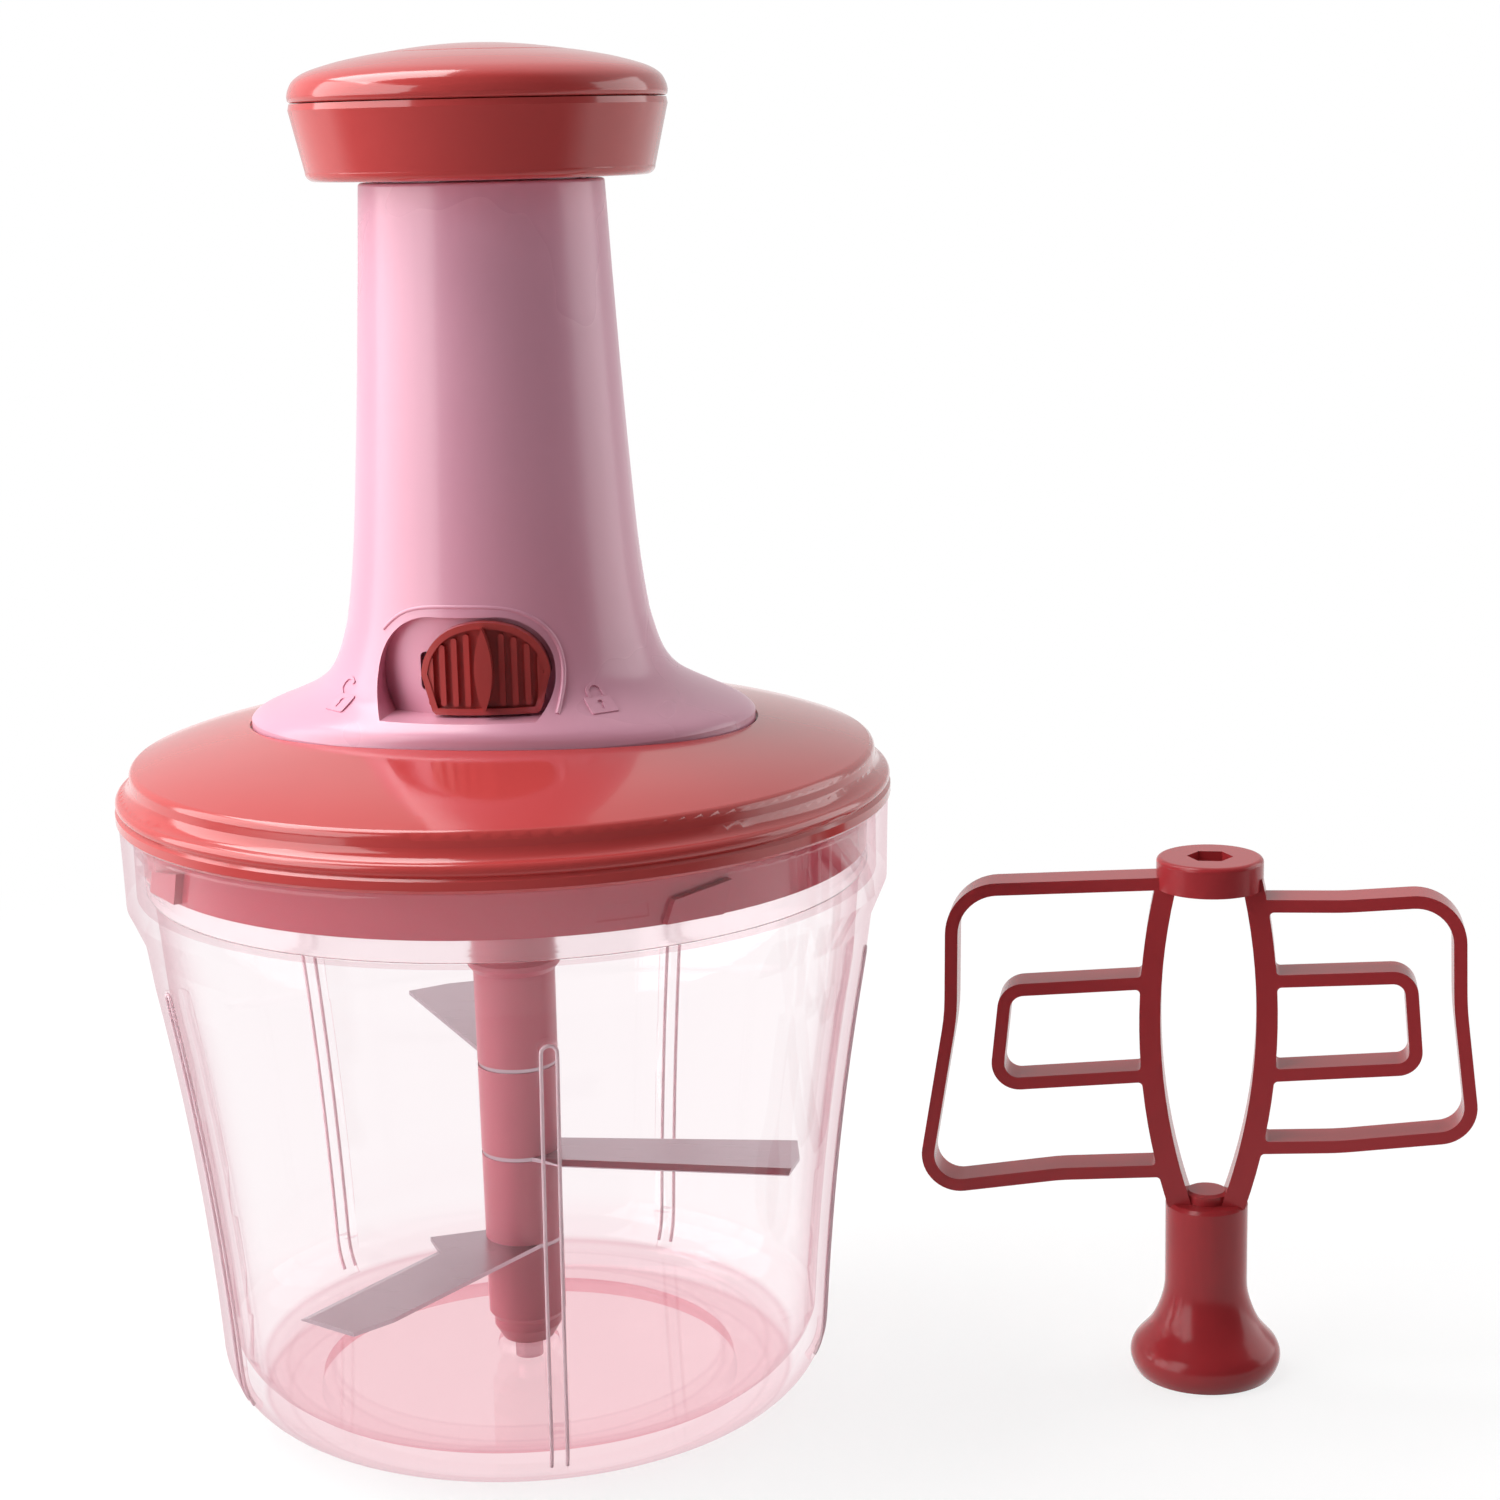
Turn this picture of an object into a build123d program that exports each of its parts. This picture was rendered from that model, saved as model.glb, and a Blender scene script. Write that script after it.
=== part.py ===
from build123d import *
from math import cos, radians, sin, sqrt
import os

# Hand-pressed food chopper. A clear bowl carries a blade set on a floor pin. The lid carries a column,
# and in it a knob on a tube is pushed down. A nut in the tube turns a twisted rod, and the rod turns
# the blades through a ratchet and a long hexagonal spindle. A second attachment, a whisk, stands beside.
#
# Millimetres. The origin is the centre of the bowl's foot on the table, +Z is up along the bowl's axis,
# and the lock slider on the column faces -Y.

# ---------------------------------------------------------------------------- driving dimensions
running = 0.08  # radial clearance of a shaft in its bearing
fitted = 0.02  # radial clearance between pieces that are fixed to each other
sliding = 0.3  # clearance between pieces that pass each other freely

# bowl
rim_z = 112.0
lid_radius = 70.0
foot_outer, foot_inner, foot_height = 43.5, 39.4, 3.2
base_round = 13.3  # height and width of the rounded bottom edge
wall_hollow = 1.1  # the wall hangs this far in from a straight cone, half way up
shoulder_step = 5.0  # from the wall's top out to the lid's edge
shoulder_depth, collar_depth = 30.0, 12.8  # from the rim down to the end of the wall and to the ledge
bowl_wall, collar_wall = 2.3, 2.3
floor_z = 6.0
flute_count, flute_start = 5, 1.0
flute_groove, flute_rib = 1.5, 1.9  # radii of the groove outside and of the rib inside
pin_radius, pin_bottom, pin_top = 2.6, 3.9, 27.0
pin_boss, pin_boss_height = 6.0, 1.5

# blade set
hub_low, hub_high = 7.2, 7.65  # outer radius at the foot and at the top
blade_thickness = 0.8
blade_first_z, blade_pitch = 27.4, 17.2
blade_start = 4.5  # direction of the middle blade at rest, degrees
blade_gap = 1.9  # between the blades' tips and the bowl's wall
core_flats = 10.6  # across the flats of the hexagonal core that keys the blades

# drive
spindle_flats, spindle_end_z = 7.0, 42.5
rod_width, rod_thickness = 9.4, 3.4
rod_lead = 40.0  # one turn of the twist
ratchet_radius, ratchet_teeth, ratchet_depth = 10.4, 12, 2.2
bush_wall, bush_flange = 1.6, 1.2

# lid
lid_gap = 0.4  # between the bowl's rim and the lid
lid_edge = 2.7  # height of the flange below the joint of base and cover
lid_wall = 2.2
skirt_wall, skirt_bottom_drop = 2.2, 8.4  # the skirt ends this far below the rim
lug_count, lug_start, lug_reach = 4, -48.0, 1.2
plate_drop, plate_thickness = 3.6, 2.4  # the inner plate lies this far below the rim
deck_rise, deck_thickness = 10.9, 2.2  # the column's seat above the joint of base and cover
screw_radius, screw_head, screw_head_height = 1.5, 2.9, 1.8
boss_radius = 3.4  # of the posts that take the screws

# column, its foot an oval and its neck nearly round
foot_x, foot_y, foot_gap = 46.0, 36.0, 0.45
neck_flare_x, neck_flare_y, neck_rise = 6.6, 6.4, 17.0  # wider than the mouth by this
waist_flare, waist_rise = 5.4, 22.0
column_wall = 2.3
column_screw_y, column_screw_depth = 11.0, 6.3
guide_wall, guide_depth = 1.4, 10.0

# plunger and knob
travel = 65.0  # stroke of the plunger
spring_room = 15.0  # from the column's seat to the nut when the knob is pressed down
tube_outer, tube_wall = 17.7, 1.8
stop_height = 4.0
key_width, key_height = 3.0, 0.6
knob_overhang = 15.4  # of the knob beyond the tube
knob_ring_height, knob_cap_height = 13.3, 9.8
knob_gap = 0.4  # under the knob when it is pressed down
knob_wall, knob_seam = 2.2, 0.25
disc_radius, disc_thickness = 12.3, 1.7
spring_wire, spring_turns = 0.6, 6

# lock slider
lock_turn = 8.5  # half of the slider's swing, degrees
lock_half, lock_lower, lock_crown = 11.15, 6.9, 9.2  # half width, and height below and above the widest line
lock_rise = 14.2  # of the widest line above the column's seat
lock_sink = 2.8  # depth of the recess's floor below the neck
rib_pitch, rib_width = 2.15, 1.0

# whisk
whisk_x, whisk_y = 126.8, 16.4
whisk_drop = 12.6  # the whisk is this much lower than the bowl's rim
whisk_ring, whisk_ring_height, whisk_hole = 9.7, 5.6, 4.2
whisk_depth, loop_bar = 7.0, 2.35
whisk_foot, whisk_socket, whisk_socket_top = 14.1, 7.6, 33.5

# ---------------------------------------------------------------------------- heights that follow
ledge_z = rim_z - collar_depth
plate_z = rim_z - plate_drop
plate_top = plate_z + plate_thickness
skirt_bottom = rim_z - skirt_bottom_drop
lid_bottom = rim_z + lid_gap
lid_split_z = lid_bottom + lid_edge
deck_z = lid_split_z + deck_rise
deck_underside = deck_z - deck_thickness
lock_mid = deck_z + lock_rise
lock_low, lock_high = lock_mid - lock_lower, lock_mid + lock_crown
nut_bottom = deck_z + spring_room
tube_bottom, nut_top = nut_bottom + 2.0, nut_bottom + 10.0
bush_z = tube_bottom + stop_height + 1.0 + travel
column_top = bush_z + guide_depth
knob_bottom = column_top + knob_gap
knob_split = knob_bottom + knob_ring_height
knob_top = knob_split + knob_cap_height
rod_foot_z, rod_top_z = deck_z + 3.0, knob_bottom + 1.4
whisk_height = rim_z - whisk_drop

os.makedirs("parts", exist_ok=True)


def direction(angle):
    """Unit vector in the XY plane at an angle in degrees."""
    return Vector(cos(radians(angle)), sin(radians(angle)), 0)


def facing(angle):
    """Vertical plane through the axis whose normal points out at an angle, with its local y upward."""
    return Plane(origin=(0, 0, 0), x_dir=direction(angle + 90), z_dir=direction(angle))


def save(part, name):
    part.label = name
    export_step(part, f"parts/{name}.step")


# ---------------------------------------------------------------------------- bowl
wall_low, wall_low_z = foot_outer + base_round, base_round
wall_top, wall_top_z = lid_radius - shoulder_step, rim_z - shoulder_depth
wall_mid, wall_mid_z = (wall_low + wall_top) / 2 - wall_hollow, (wall_low_z + wall_top_z) / 2
shoulder = wall_top + 1.3
collar_outer = lid_radius - 0.5
collar_inner = collar_outer - collar_wall
floor_disc = wall_low - 8.4

with BuildPart() as bowl_shell:
    with BuildSketch(Plane.XZ):
        with BuildLine():
            Polyline((0, foot_height), (foot_inner - 0.6, foot_height), (foot_inner, 0), (foot_outer, 0))
            RadiusArc((foot_outer, 0), (wall_low, wall_low_z), -base_round)
            ThreePointArc((wall_low, wall_low_z), (wall_mid, wall_mid_z), (wall_top, wall_top_z))
            Line((wall_top, wall_top_z), (shoulder, wall_top_z + 9))
            Line((shoulder, wall_top_z + 9), (collar_outer - 0.4, ledge_z - 1.7))
            Line((collar_outer - 0.4, ledge_z - 1.7), (collar_outer, rim_z))
            Polyline(
                (collar_outer, rim_z),
                (collar_inner, rim_z),
                (collar_inner, ledge_z),
                (shoulder - bowl_wall + 0.2, ledge_z),
                (wall_top - bowl_wall, wall_top_z),
            )
            ThreePointArc(
                (wall_top - bowl_wall, wall_top_z),
                (wall_mid - bowl_wall, wall_mid_z),
                (wall_low - bowl_wall, wall_low_z + 1),
            )
            RadiusArc((wall_low - bowl_wall, wall_low_z + 1), (floor_disc, floor_z + 0.6), base_round)
            Polyline(
                (floor_disc, floor_z + 0.6),
                (floor_disc - 0.6, floor_z),
                (pin_boss, floor_z),
                (pin_boss - 0.4, floor_z + pin_boss_height),
                (pin_radius + fitted, floor_z + pin_boss_height),
                (pin_radius + fitted, pin_bottom),
                (0, pin_bottom),
                (0, foot_height),
            )
        make_face()
    revolve(axis=Axis.Z)
    fillet(bowl_shell.edges().filter_by(GeomType.CIRCLE).group_by(Axis.Z)[-1], 0.3 * collar_wall)


def flute(radius, inward):
    """A round bar up the wall and round the bottom edge, a distance in from the outer surface."""
    bend_radius = base_round - inward
    foot = (foot_outer + bend_radius * cos(radians(38)), base_round - bend_radius * sin(radians(38)))
    bend = (wall_low - inward, wall_low_z)
    top = (wall_top + 0.5 - inward, wall_top_z + 4)
    with BuildPart() as bar:
        with BuildLine(Plane.XZ) as wall_path:
            ThreePointArc(bend, (wall_mid - inward, wall_mid_z), top)
        with BuildSketch(Plane(origin=wall_path.line @ 0, z_dir=wall_path.line % 0)):
            Circle(radius)
        sweep(path=wall_path.line)
        fillet(bar.edges().group_by(Axis.Z)[-1], 0.95 * radius)
        with BuildLine(Plane.XZ) as foot_path:
            RadiusArc(foot, bend, -bend_radius)
        with BuildSketch(Plane(origin=foot_path.line @ 0, z_dir=foot_path.line % 0)):
            Circle(radius)
        sweep(path=foot_path.line)
    return bar.part


flute_inside, flute_outside = flute(flute_rib, flute_rib + 0.05), flute(flute_groove, 0)
catch_reach, catch_z = lug_reach, skirt_bottom + 3.4
with BuildPart() as bowl:
    add(bowl_shell.part)
    with PolarLocations(0, flute_count, start_angle=flute_start):
        add(flute_inside)
        add(flute_outside, mode=Mode.SUBTRACT)
    for i in range(lug_count):
        catch_face = facing(lug_start - 12 + i * 360 / lug_count)
        with BuildSketch(catch_face.offset(collar_inner - catch_reach)):
            with Locations((0, catch_z)):
                Rectangle(9, 2.4)
        extrude(amount=catch_reach + 0.6)
save(bowl.part, "bowl")

with BuildPart() as pivot_pin:
    with BuildSketch(Plane.XY.offset(pin_bottom)):
        Circle(pin_radius)
    extrude(amount=pin_top - pin_bottom)
    chamfer(pivot_pin.edges().group_by(Axis.Z)[-1], 0.8)
save(pivot_pin.part, "pivot_pin")

# ---------------------------------------------------------------------------- blade set
hub_bottom = floor_z + pin_boss_height + 0.4
hub_top = rim_z - 15.0
blade_z = {
    "lower": blade_first_z,
    "middle": blade_first_z + blade_pitch,
    "upper": blade_first_z + 2 * blade_pitch,
}
blade_turn = {"lower": blade_start + 240, "middle": blade_start, "upper": blade_start + 120}
blade_reach = wall_low - bowl_wall - blade_gap
core_corner = core_flats / sqrt(3)
core_bottom, core_top = hub_bottom + 5.6, hub_top - 0.7
spindle_corner = spindle_flats / sqrt(3)
spindle_socket = spindle_corner + 0.1


def hub_radius(z):
    return hub_low + (hub_high - hub_low) * (z - hub_bottom) / (hub_top - hub_bottom)


with BuildPart() as hub_core:
    with BuildSketch(Plane.XY.offset(core_bottom)):
        RegularPolygon(core_corner, 6, rotation=blade_start)
    extrude(amount=core_top - core_bottom)
    with BuildSketch(Plane.XY.offset(spindle_end_z - 0.5)):
        RegularPolygon(spindle_socket, 6, rotation=blade_start)
    extrude(until=Until.LAST, mode=Mode.SUBTRACT)
    with BuildSketch(Plane.XY.offset(core_bottom)):
        Circle(pin_radius + running)
    extrude(amount=pin_top + 0.6 - core_bottom, mode=Mode.SUBTRACT)
save(hub_core.part, "hub_core")

# each segment's outline from its lower face to its upper face, outside the axis
foot_outline = [
    (hub_low - 2.4, hub_bottom),
    (hub_low - 0.9, hub_bottom + 2.6),
    (hub_low - 0.9, hub_bottom + 4.2),
    (hub_low, hub_bottom + 5.4),
    (hub_radius(blade_z["lower"]), blade_z["lower"]),
]
sleeve_bottom, flange_z = blade_z["upper"] + blade_thickness, hub_top - 17.0
sleeve_outline = [
    (hub_radius(sleeve_bottom), sleeve_bottom),
    (hub_radius(flange_z), flange_z),
    (hub_high + 0.9, flange_z + 1.2),
    (hub_high + 0.9, flange_z + 2.2),
    (hub_high + 0.2, flange_z + 3.0),
    (hub_high, hub_top - 0.8),
    (hub_high - 0.8, hub_top),
]


def spacer_outline(lower, upper):
    low, high = blade_z[lower] + blade_thickness, blade_z[upper]
    return [(hub_radius(low), low), (hub_radius(high), high)]


hub_outlines = {
    "hub_foot": foot_outline,
    "hub_spacer_lower": spacer_outline("lower", "middle"),
    "hub_spacer_upper": spacer_outline("middle", "upper"),
    "hub_sleeve": sleeve_outline,
}
for name, outline in hub_outlines.items():
    low, high = outline[0][1], outline[-1][1]
    with BuildPart() as segment:
        with BuildSketch(Plane.XZ):
            with BuildLine():
                Polyline((0, low), *outline, (0, high), close=True)
            make_face()
        revolve(axis=Axis.Z)
        with BuildSketch(Plane.XY.offset(max(low, core_bottom))):
            RegularPolygon(core_corner + fitted, 6, rotation=blade_start)
        extrude(amount=min(high, core_top) - max(low, core_bottom), mode=Mode.SUBTRACT)
        if name == "hub_foot":
            with BuildSketch(Plane.XY.offset(low)):
                Circle(pin_radius + running)
            extrude(amount=core_bottom - low, mode=Mode.SUBTRACT)
        if name == "hub_sleeve":
            with BuildSketch(Plane.XY.offset(core_top)):
                RegularPolygon(spindle_socket, 6, rotation=blade_start)
            extrude(amount=high - core_top, mode=Mode.SUBTRACT)
    save(segment.part, name)

# blade outlines from the root out: back at +y, cutting edge at -y, slanted tip
plain_blade = [
    (0, 4.6),
    (blade_reach - 1, 3.8),
    (blade_reach, -5),
    (blade_reach - 1.4, -13.2),
    (9, -9.4),
    (3, -6.5),
]
heeled_blade = [
    (0, 6.4),
    (blade_reach - 8.6, 6.4),
    (blade_reach, 4.6),
    (blade_reach - 0.4, -8.2),
    (15, -8.6),
    (11.4, -13.6),
    (3, -7),
]
blade_outlines = {"lower": heeled_blade, "middle": plain_blade, "upper": plain_blade}
bevel_height, bevel_width = 0.75 * blade_thickness, 1.9
for name in blade_z:
    with BuildPart() as blade:
        with BuildSketch(Plane.XY.offset(blade_z[name])):
            Circle(hub_low)
            with BuildLine():
                Polyline(*blade_outlines[name], (0, 0), close=True)
            make_face()
            RegularPolygon(core_corner + fitted, 6, mode=Mode.SUBTRACT)
        extrude(amount=blade_thickness)
        top_edges = blade.faces().sort_by(Axis.Z)[-1].edges().filter_by(GeomType.LINE)
        cutting_edge = top_edges.sort_by(SortBy.LENGTH)[-2:].sort_by(Axis.Y)[0]
        chamfer(cutting_edge, bevel_height, bevel_width)
    save(blade.part.rotate(Axis.Z, blade_turn[name]), f"blade_{name}")

# ---------------------------------------------------------------------------- drive train
journal = rod_width / 2 + 0.3
driver_top = deck_underside - 1.0
driver_bottom = driver_top - 1.7
ratchet_z = driver_bottom - ratchet_depth  # roots of the driven teeth
spindle_head_z = plate_top + bush_flange + 0.2
journal_end_z = floor_z + whisk_height + 0.6
tooth_inner, tooth_width = journal + 1.5, 1.5
tooth_length = ratchet_radius - 0.3 - tooth_inner


def twisted_bar(width, thickness, corner, low, high):
    """A flat bar that twists left-handed as it rises, its width along X at the rod's foot."""
    with BuildPart() as bar:
        with BuildSketch(Plane.XY.offset(low)):
            turn = -360 * (low - rod_foot_z) / rod_lead
            RectangleRounded(width, thickness, corner, rotation=turn)
        with BuildLine() as axis_line:
            Line((0, 0, low), (0, 0, high))
        with BuildLine(mode=Mode.PRIVATE) as twist:
            Helix(rod_lead, high - low, 6, center=(0, 0, low), lefthand=True)
        sweep(path=axis_line.line, binormal=twist.line.edge())
    return bar.part


rod_bar = twisted_bar(rod_width, rod_thickness, 1.2, rod_foot_z, rod_top_z)
with BuildPart() as twisted_rod:
    add(rod_bar)
    with BuildSketch(Plane.XY.offset(ratchet_z - 0.6)):
        Circle(journal)
    extrude(amount=rod_foot_z + 1.6 - ratchet_z)
save(twisted_rod.part, "twisted_rod")

with BuildPart() as ratchet_driver:
    with BuildSketch(Plane.XY.offset(driver_bottom)):
        Circle(ratchet_radius)
        Circle(journal + fitted, mode=Mode.SUBTRACT)
    extrude(amount=driver_top - driver_bottom)
    for i in range(ratchet_teeth):
        with BuildSketch(facing((i + 0.5) * 360 / ratchet_teeth).offset(tooth_inner)):
            with Locations((0, driver_bottom)):
                Polygon(
                    (-tooth_width / 2, 0),
                    (tooth_width / 2, 0),
                    (-tooth_width / 2, 0.1 - ratchet_depth),
                    align=None,
                )
        extrude(amount=tooth_length)
save(ratchet_driver.part, "ratchet_driver")

with BuildPart() as drive_spindle:
    with BuildSketch(Plane.XY.offset(spindle_end_z)):
        RegularPolygon(spindle_corner, 6, rotation=blade_start)
    extrude(amount=spindle_head_z - spindle_end_z)
    chamfer(drive_spindle.faces().sort_by(Axis.Z)[0].edges(), 0.6)
    with BuildSketch(Plane.XY.offset(journal_end_z)):
        Circle(journal)
    extrude(amount=spindle_head_z - journal_end_z)
    with BuildSketch(Plane.XY.offset(spindle_head_z)):
        Circle(ratchet_radius)
    extrude(amount=ratchet_z - spindle_head_z)
    with BuildSketch(Plane.XY.offset(ratchet_z)):
        Circle(journal + 0.5)
    extrude(amount=-1, mode=Mode.SUBTRACT)
    for i in range(ratchet_teeth):
        with BuildSketch(facing(i * 360 / ratchet_teeth).offset(tooth_inner)):
            with Locations((0, ratchet_z)):
                Polygon(
                    (-tooth_width / 2, 0),
                    (tooth_width / 2, 0),
                    (tooth_width / 2, ratchet_depth - 0.1),
                    align=None,
                )
        extrude(amount=tooth_length)
save(drive_spindle.part, "drive_spindle")

# ---------------------------------------------------------------------------- lid base, bushes and seal
bush_outer = journal + running + bush_wall
bush_boss = bush_outer + fitted + 1.8
skirt_outer = collar_inner - lug_reach - 0.4
skirt_inner = skirt_outer - skirt_wall
base_screw_circle = lid_radius - 15.0

with BuildPart() as lid_base:
    with BuildSketch(Plane.XZ):
        with BuildLine():
            Polyline(
                (bush_outer + fitted, journal_end_z + 0.8),
                (bush_boss, journal_end_z + 0.8),
                (bush_boss + 0.8, plate_z),
                (skirt_inner - 2, plate_z),
                (skirt_inner, plate_z - 1),
                (skirt_inner, skirt_bottom),
                (skirt_outer, skirt_bottom),
                (skirt_outer, lid_bottom),
                (lid_radius - 0.6, lid_bottom),
                (lid_radius, lid_bottom + 0.6),
                (lid_radius, lid_split_z - 0.6),
                (lid_radius - 0.6, lid_split_z),
                (skirt_inner, lid_split_z),
                (skirt_inner, plate_top + 1),
                (skirt_inner - 1, plate_top),
                (bush_outer + fitted, plate_top),
                close=True,
            )
        make_face()
    revolve(axis=Axis.Z)
    for i in range(lug_count):
        with BuildSketch(facing(lug_start + i * 360 / lug_count).offset(skirt_outer - 1.4)):
            with Locations((0, skirt_bottom)):
                Polygon((-6.4, 0.3), (4.6, 0.3), (6.4, 6.0), (-4.8, 4.2), align=None)
        extrude(amount=1.4 + lug_reach)
    with BuildSketch(Plane.XY.offset(plate_z)):
        with PolarLocations(base_screw_circle, 4, start_angle=45):
            Circle(screw_radius + 0.1)
    extrude(amount=plate_thickness, mode=Mode.SUBTRACT)
save(lid_base.part, "lid_base")

with BuildPart() as spindle_bush:
    with BuildSketch(Plane.XY.offset(journal_end_z)):
        Circle(bush_outer)
    extrude(amount=plate_top - journal_end_z)
    with BuildSketch(Plane.XY.offset(plate_top)):
        Circle(bush_outer + 2.4)
    extrude(amount=bush_flange)
    with BuildSketch(Plane.XY.offset(journal_end_z)):
        Circle(journal + running)
    extrude(amount=plate_top + bush_flange - journal_end_z, mode=Mode.SUBTRACT)
save(spindle_bush.part, "spindle_bush")

with BuildPart() as lid_gasket:
    with BuildSketch(Plane.XZ):
        Polygon(
            (skirt_inner + 0.3, skirt_bottom - 0.1),
            (skirt_inner + 0.3, ledge_z + 1.2),
            (skirt_inner + 1.0, ledge_z + 0.4),
            (skirt_outer - 0.5, ledge_z + 0.4),
            (skirt_outer, ledge_z + 1.2),
            (skirt_outer, ledge_z + 2.6),
            (skirt_outer - 0.4, skirt_bottom - 0.1),
            align=None,
        )
    revolve(axis=Axis.Z)
save(lid_gasket.part, "lid_gasket")

rod_bush_outer, rod_bush_flange = journal + running + 4.4, journal + 9.0
with BuildPart() as rod_bush:
    with BuildSketch(Plane.XY.offset(deck_underside)):
        Circle(rod_bush_outer)
    extrude(amount=deck_thickness)
    with BuildSketch(Plane.XY.offset(deck_z)):
        Circle(rod_bush_flange)
    extrude(amount=bush_flange)
    with BuildSketch(Plane.XY.offset(deck_underside)):
        Circle(journal + running)
    extrude(amount=deck_thickness + bush_flange, mode=Mode.SUBTRACT)
save(rod_bush.part, "rod_bush")

# ---------------------------------------------------------------------------- lid cover
column_screw_x = foot_x - 13.0
dome = [
    (lid_radius - 3.7, deck_z - 3.9),
    (lid_radius - 9.0, deck_z - 2.1),
    (lid_radius - 16.0, deck_z - 0.35),
    (lid_radius - 24.0, deck_z + 1.2),
    (lid_radius - 34.0, deck_z + 2.9),
    (lid_radius - 46.0, deck_z + 4.2),
]
under_dome = [(dome[0][0] - 2.6, dome[0][1] - lid_wall + 1.2)]
under_dome += [(x - 0.6, z - lid_wall) for x, z in dome[1:]]
recess_wall = 1.9

with BuildPart() as cover_hollow:
    with BuildSketch(Plane.XZ):
        with BuildLine():
            hollow_edge = skirt_outer - 0.4
            Polyline((0, lid_split_z), (hollow_edge, lid_split_z), (hollow_edge, deck_z - 5.8), under_dome[0])
            ceiling = Spline(*under_dome)
            Polyline(ceiling @ 1, (0, (ceiling @ 1).Y), (0, lid_split_z))
        make_face()
    revolve(axis=Axis.Z)
    with BuildSketch(Plane.XY.offset(deck_underside)):
        Ellipse(foot_x + foot_gap + recess_wall, foot_y + foot_gap + recess_wall)
    extrude(amount=20, mode=Mode.SUBTRACT)
    with BuildSketch(Plane.XY.offset(plate_top)):
        with PolarLocations(base_screw_circle, 4, start_angle=45):
            Circle(boss_radius)
    extrude(amount=30, mode=Mode.SUBTRACT)

with BuildPart() as lid_cover:
    with BuildSketch(Plane.XZ):
        with BuildLine():
            lip = [
                (lid_radius - 0.6, lid_split_z),
                (lid_radius - 0.1, lid_split_z + 1.0),
                (lid_radius - 0.7, lid_split_z + 2.1),
                (lid_radius - 2.1, lid_split_z + 3.0),
                (lid_radius - 2.7, lid_split_z + 4.3),
                (lid_radius - 2.8, deck_z - 5.4),
                (lid_radius - 3.1, deck_z - 4.4),
            ]
            Line((0, lid_split_z), lip[0])
            ThreePointArc(lip[0], lip[1], lip[2])
            ThreePointArc(lip[2], lip[3], lip[4])
            Line(lip[4], lip[5])
            ThreePointArc(lip[5], lip[6], dome[0])
            crown = Spline(*dome)
            Polyline(crown @ 1, (0, (crown @ 1).Y), (0, lid_split_z))
        make_face()
    revolve(axis=Axis.Z)
    with BuildSketch(Plane.XY.offset(plate_top)):
        with PolarLocations(base_screw_circle, 4, start_angle=45):
            Circle(boss_radius)
    extrude(amount=lid_split_z + 2 - plate_top)
    add(cover_hollow.part, mode=Mode.SUBTRACT)
    with BuildSketch(Plane.XY.offset(deck_z)):
        Ellipse(foot_x + foot_gap, foot_y + foot_gap)
    extrude(amount=20, mode=Mode.SUBTRACT)
    with BuildSketch(Plane.XY.offset(deck_underside)):
        Circle(rod_bush_outer + fitted)
        with GridLocations(2 * column_screw_x, 2 * column_screw_y, 2, 2):
            Circle(screw_radius + 0.1)
    extrude(amount=deck_thickness, mode=Mode.SUBTRACT)
    with BuildSketch(Plane.XY.offset(plate_top)):
        with PolarLocations(base_screw_circle, 4, start_angle=45):
            Circle(screw_radius + fitted)
    extrude(amount=10, mode=Mode.SUBTRACT)
save(lid_cover.part, "lid_cover")


def screws(places, head_z, shank_length, name):
    """Flat-headed screws pointing up, or down for a negative length, as one group of solids."""
    side = 1 if shank_length > 0 else -1
    with BuildPart() as group:
        with BuildSketch(Plane.XY.offset(head_z)):
            with Locations(*places):
                Circle(screw_head)
        extrude(amount=-side * screw_head_height)
        with BuildSketch(Plane.XY.offset(head_z)):
            with Locations(*places):
                Circle(screw_radius)
        extrude(amount=shank_length)
    save(group.part, name)


base_screw_places = [direction(45 + 90 * i) * base_screw_circle for i in range(4)]
screws(base_screw_places, plate_z, 9, "base_screws")
column_screw_places = [
    (x, y) for x in (-column_screw_x, column_screw_x) for y in (-column_screw_y, column_screw_y)
]
screws(column_screw_places, deck_underside, 8, "column_screws")

# ---------------------------------------------------------------------------- column
# the flare's share of the way from the neck out to the foot, as (height above the seat, in X, in Y)
flare = [
    (2.4, 1.0, 1.0),
    (3.8, 0.911, 1.0),
    (5.6, 0.670, 0.926),
    (7.6, 0.415, 0.630),
    (10.2, 0.200, 0.333),
    (13.2, 0.078, 0.148),
]
# the shaft's share of the way from the waist up to the mouth, as (height, radius)
shaft = [(0.0, 0.0), (0.106, 0.204), (0.267, 0.398), (0.48, 0.602), (0.72, 0.8), (1.0, 1.0)]
column_mouth = tube_outer + running + guide_wall + fitted + column_wall
neck_x, neck_y = column_mouth + neck_flare_x, column_mouth + neck_flare_y
column_waist = column_mouth + waist_flare
waist_z = deck_z + waist_rise
stations = [
    (deck_z + rise, neck_x + (foot_x - neck_x) * along_x, neck_y + (foot_y - neck_y) * along_y)
    for rise, along_x, along_y in flare
]
stations += [(deck_z + neck_rise, neck_x, neck_y), (waist_z, column_waist, column_waist)]
foot_edge_z = stations[0][0]
shaft_outline = [
    (column_waist - waist_flare * taper, waist_z + share * (column_top - waist_z)) for share, taper in shaft
]

cavity_mouth = column_mouth - column_wall
stop_radius = tube_outer + 1.0  # of the collar that stops the tube
lock_floor = neck_x - lock_sink  # radius of the recess's floor
lock_wall = lock_floor - 2.5  # radius of the wall's inner side behind the recess
tongue_low = tube_bottom + stop_height + 0.6
tongue_high = tongue_low + 2.8


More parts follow.
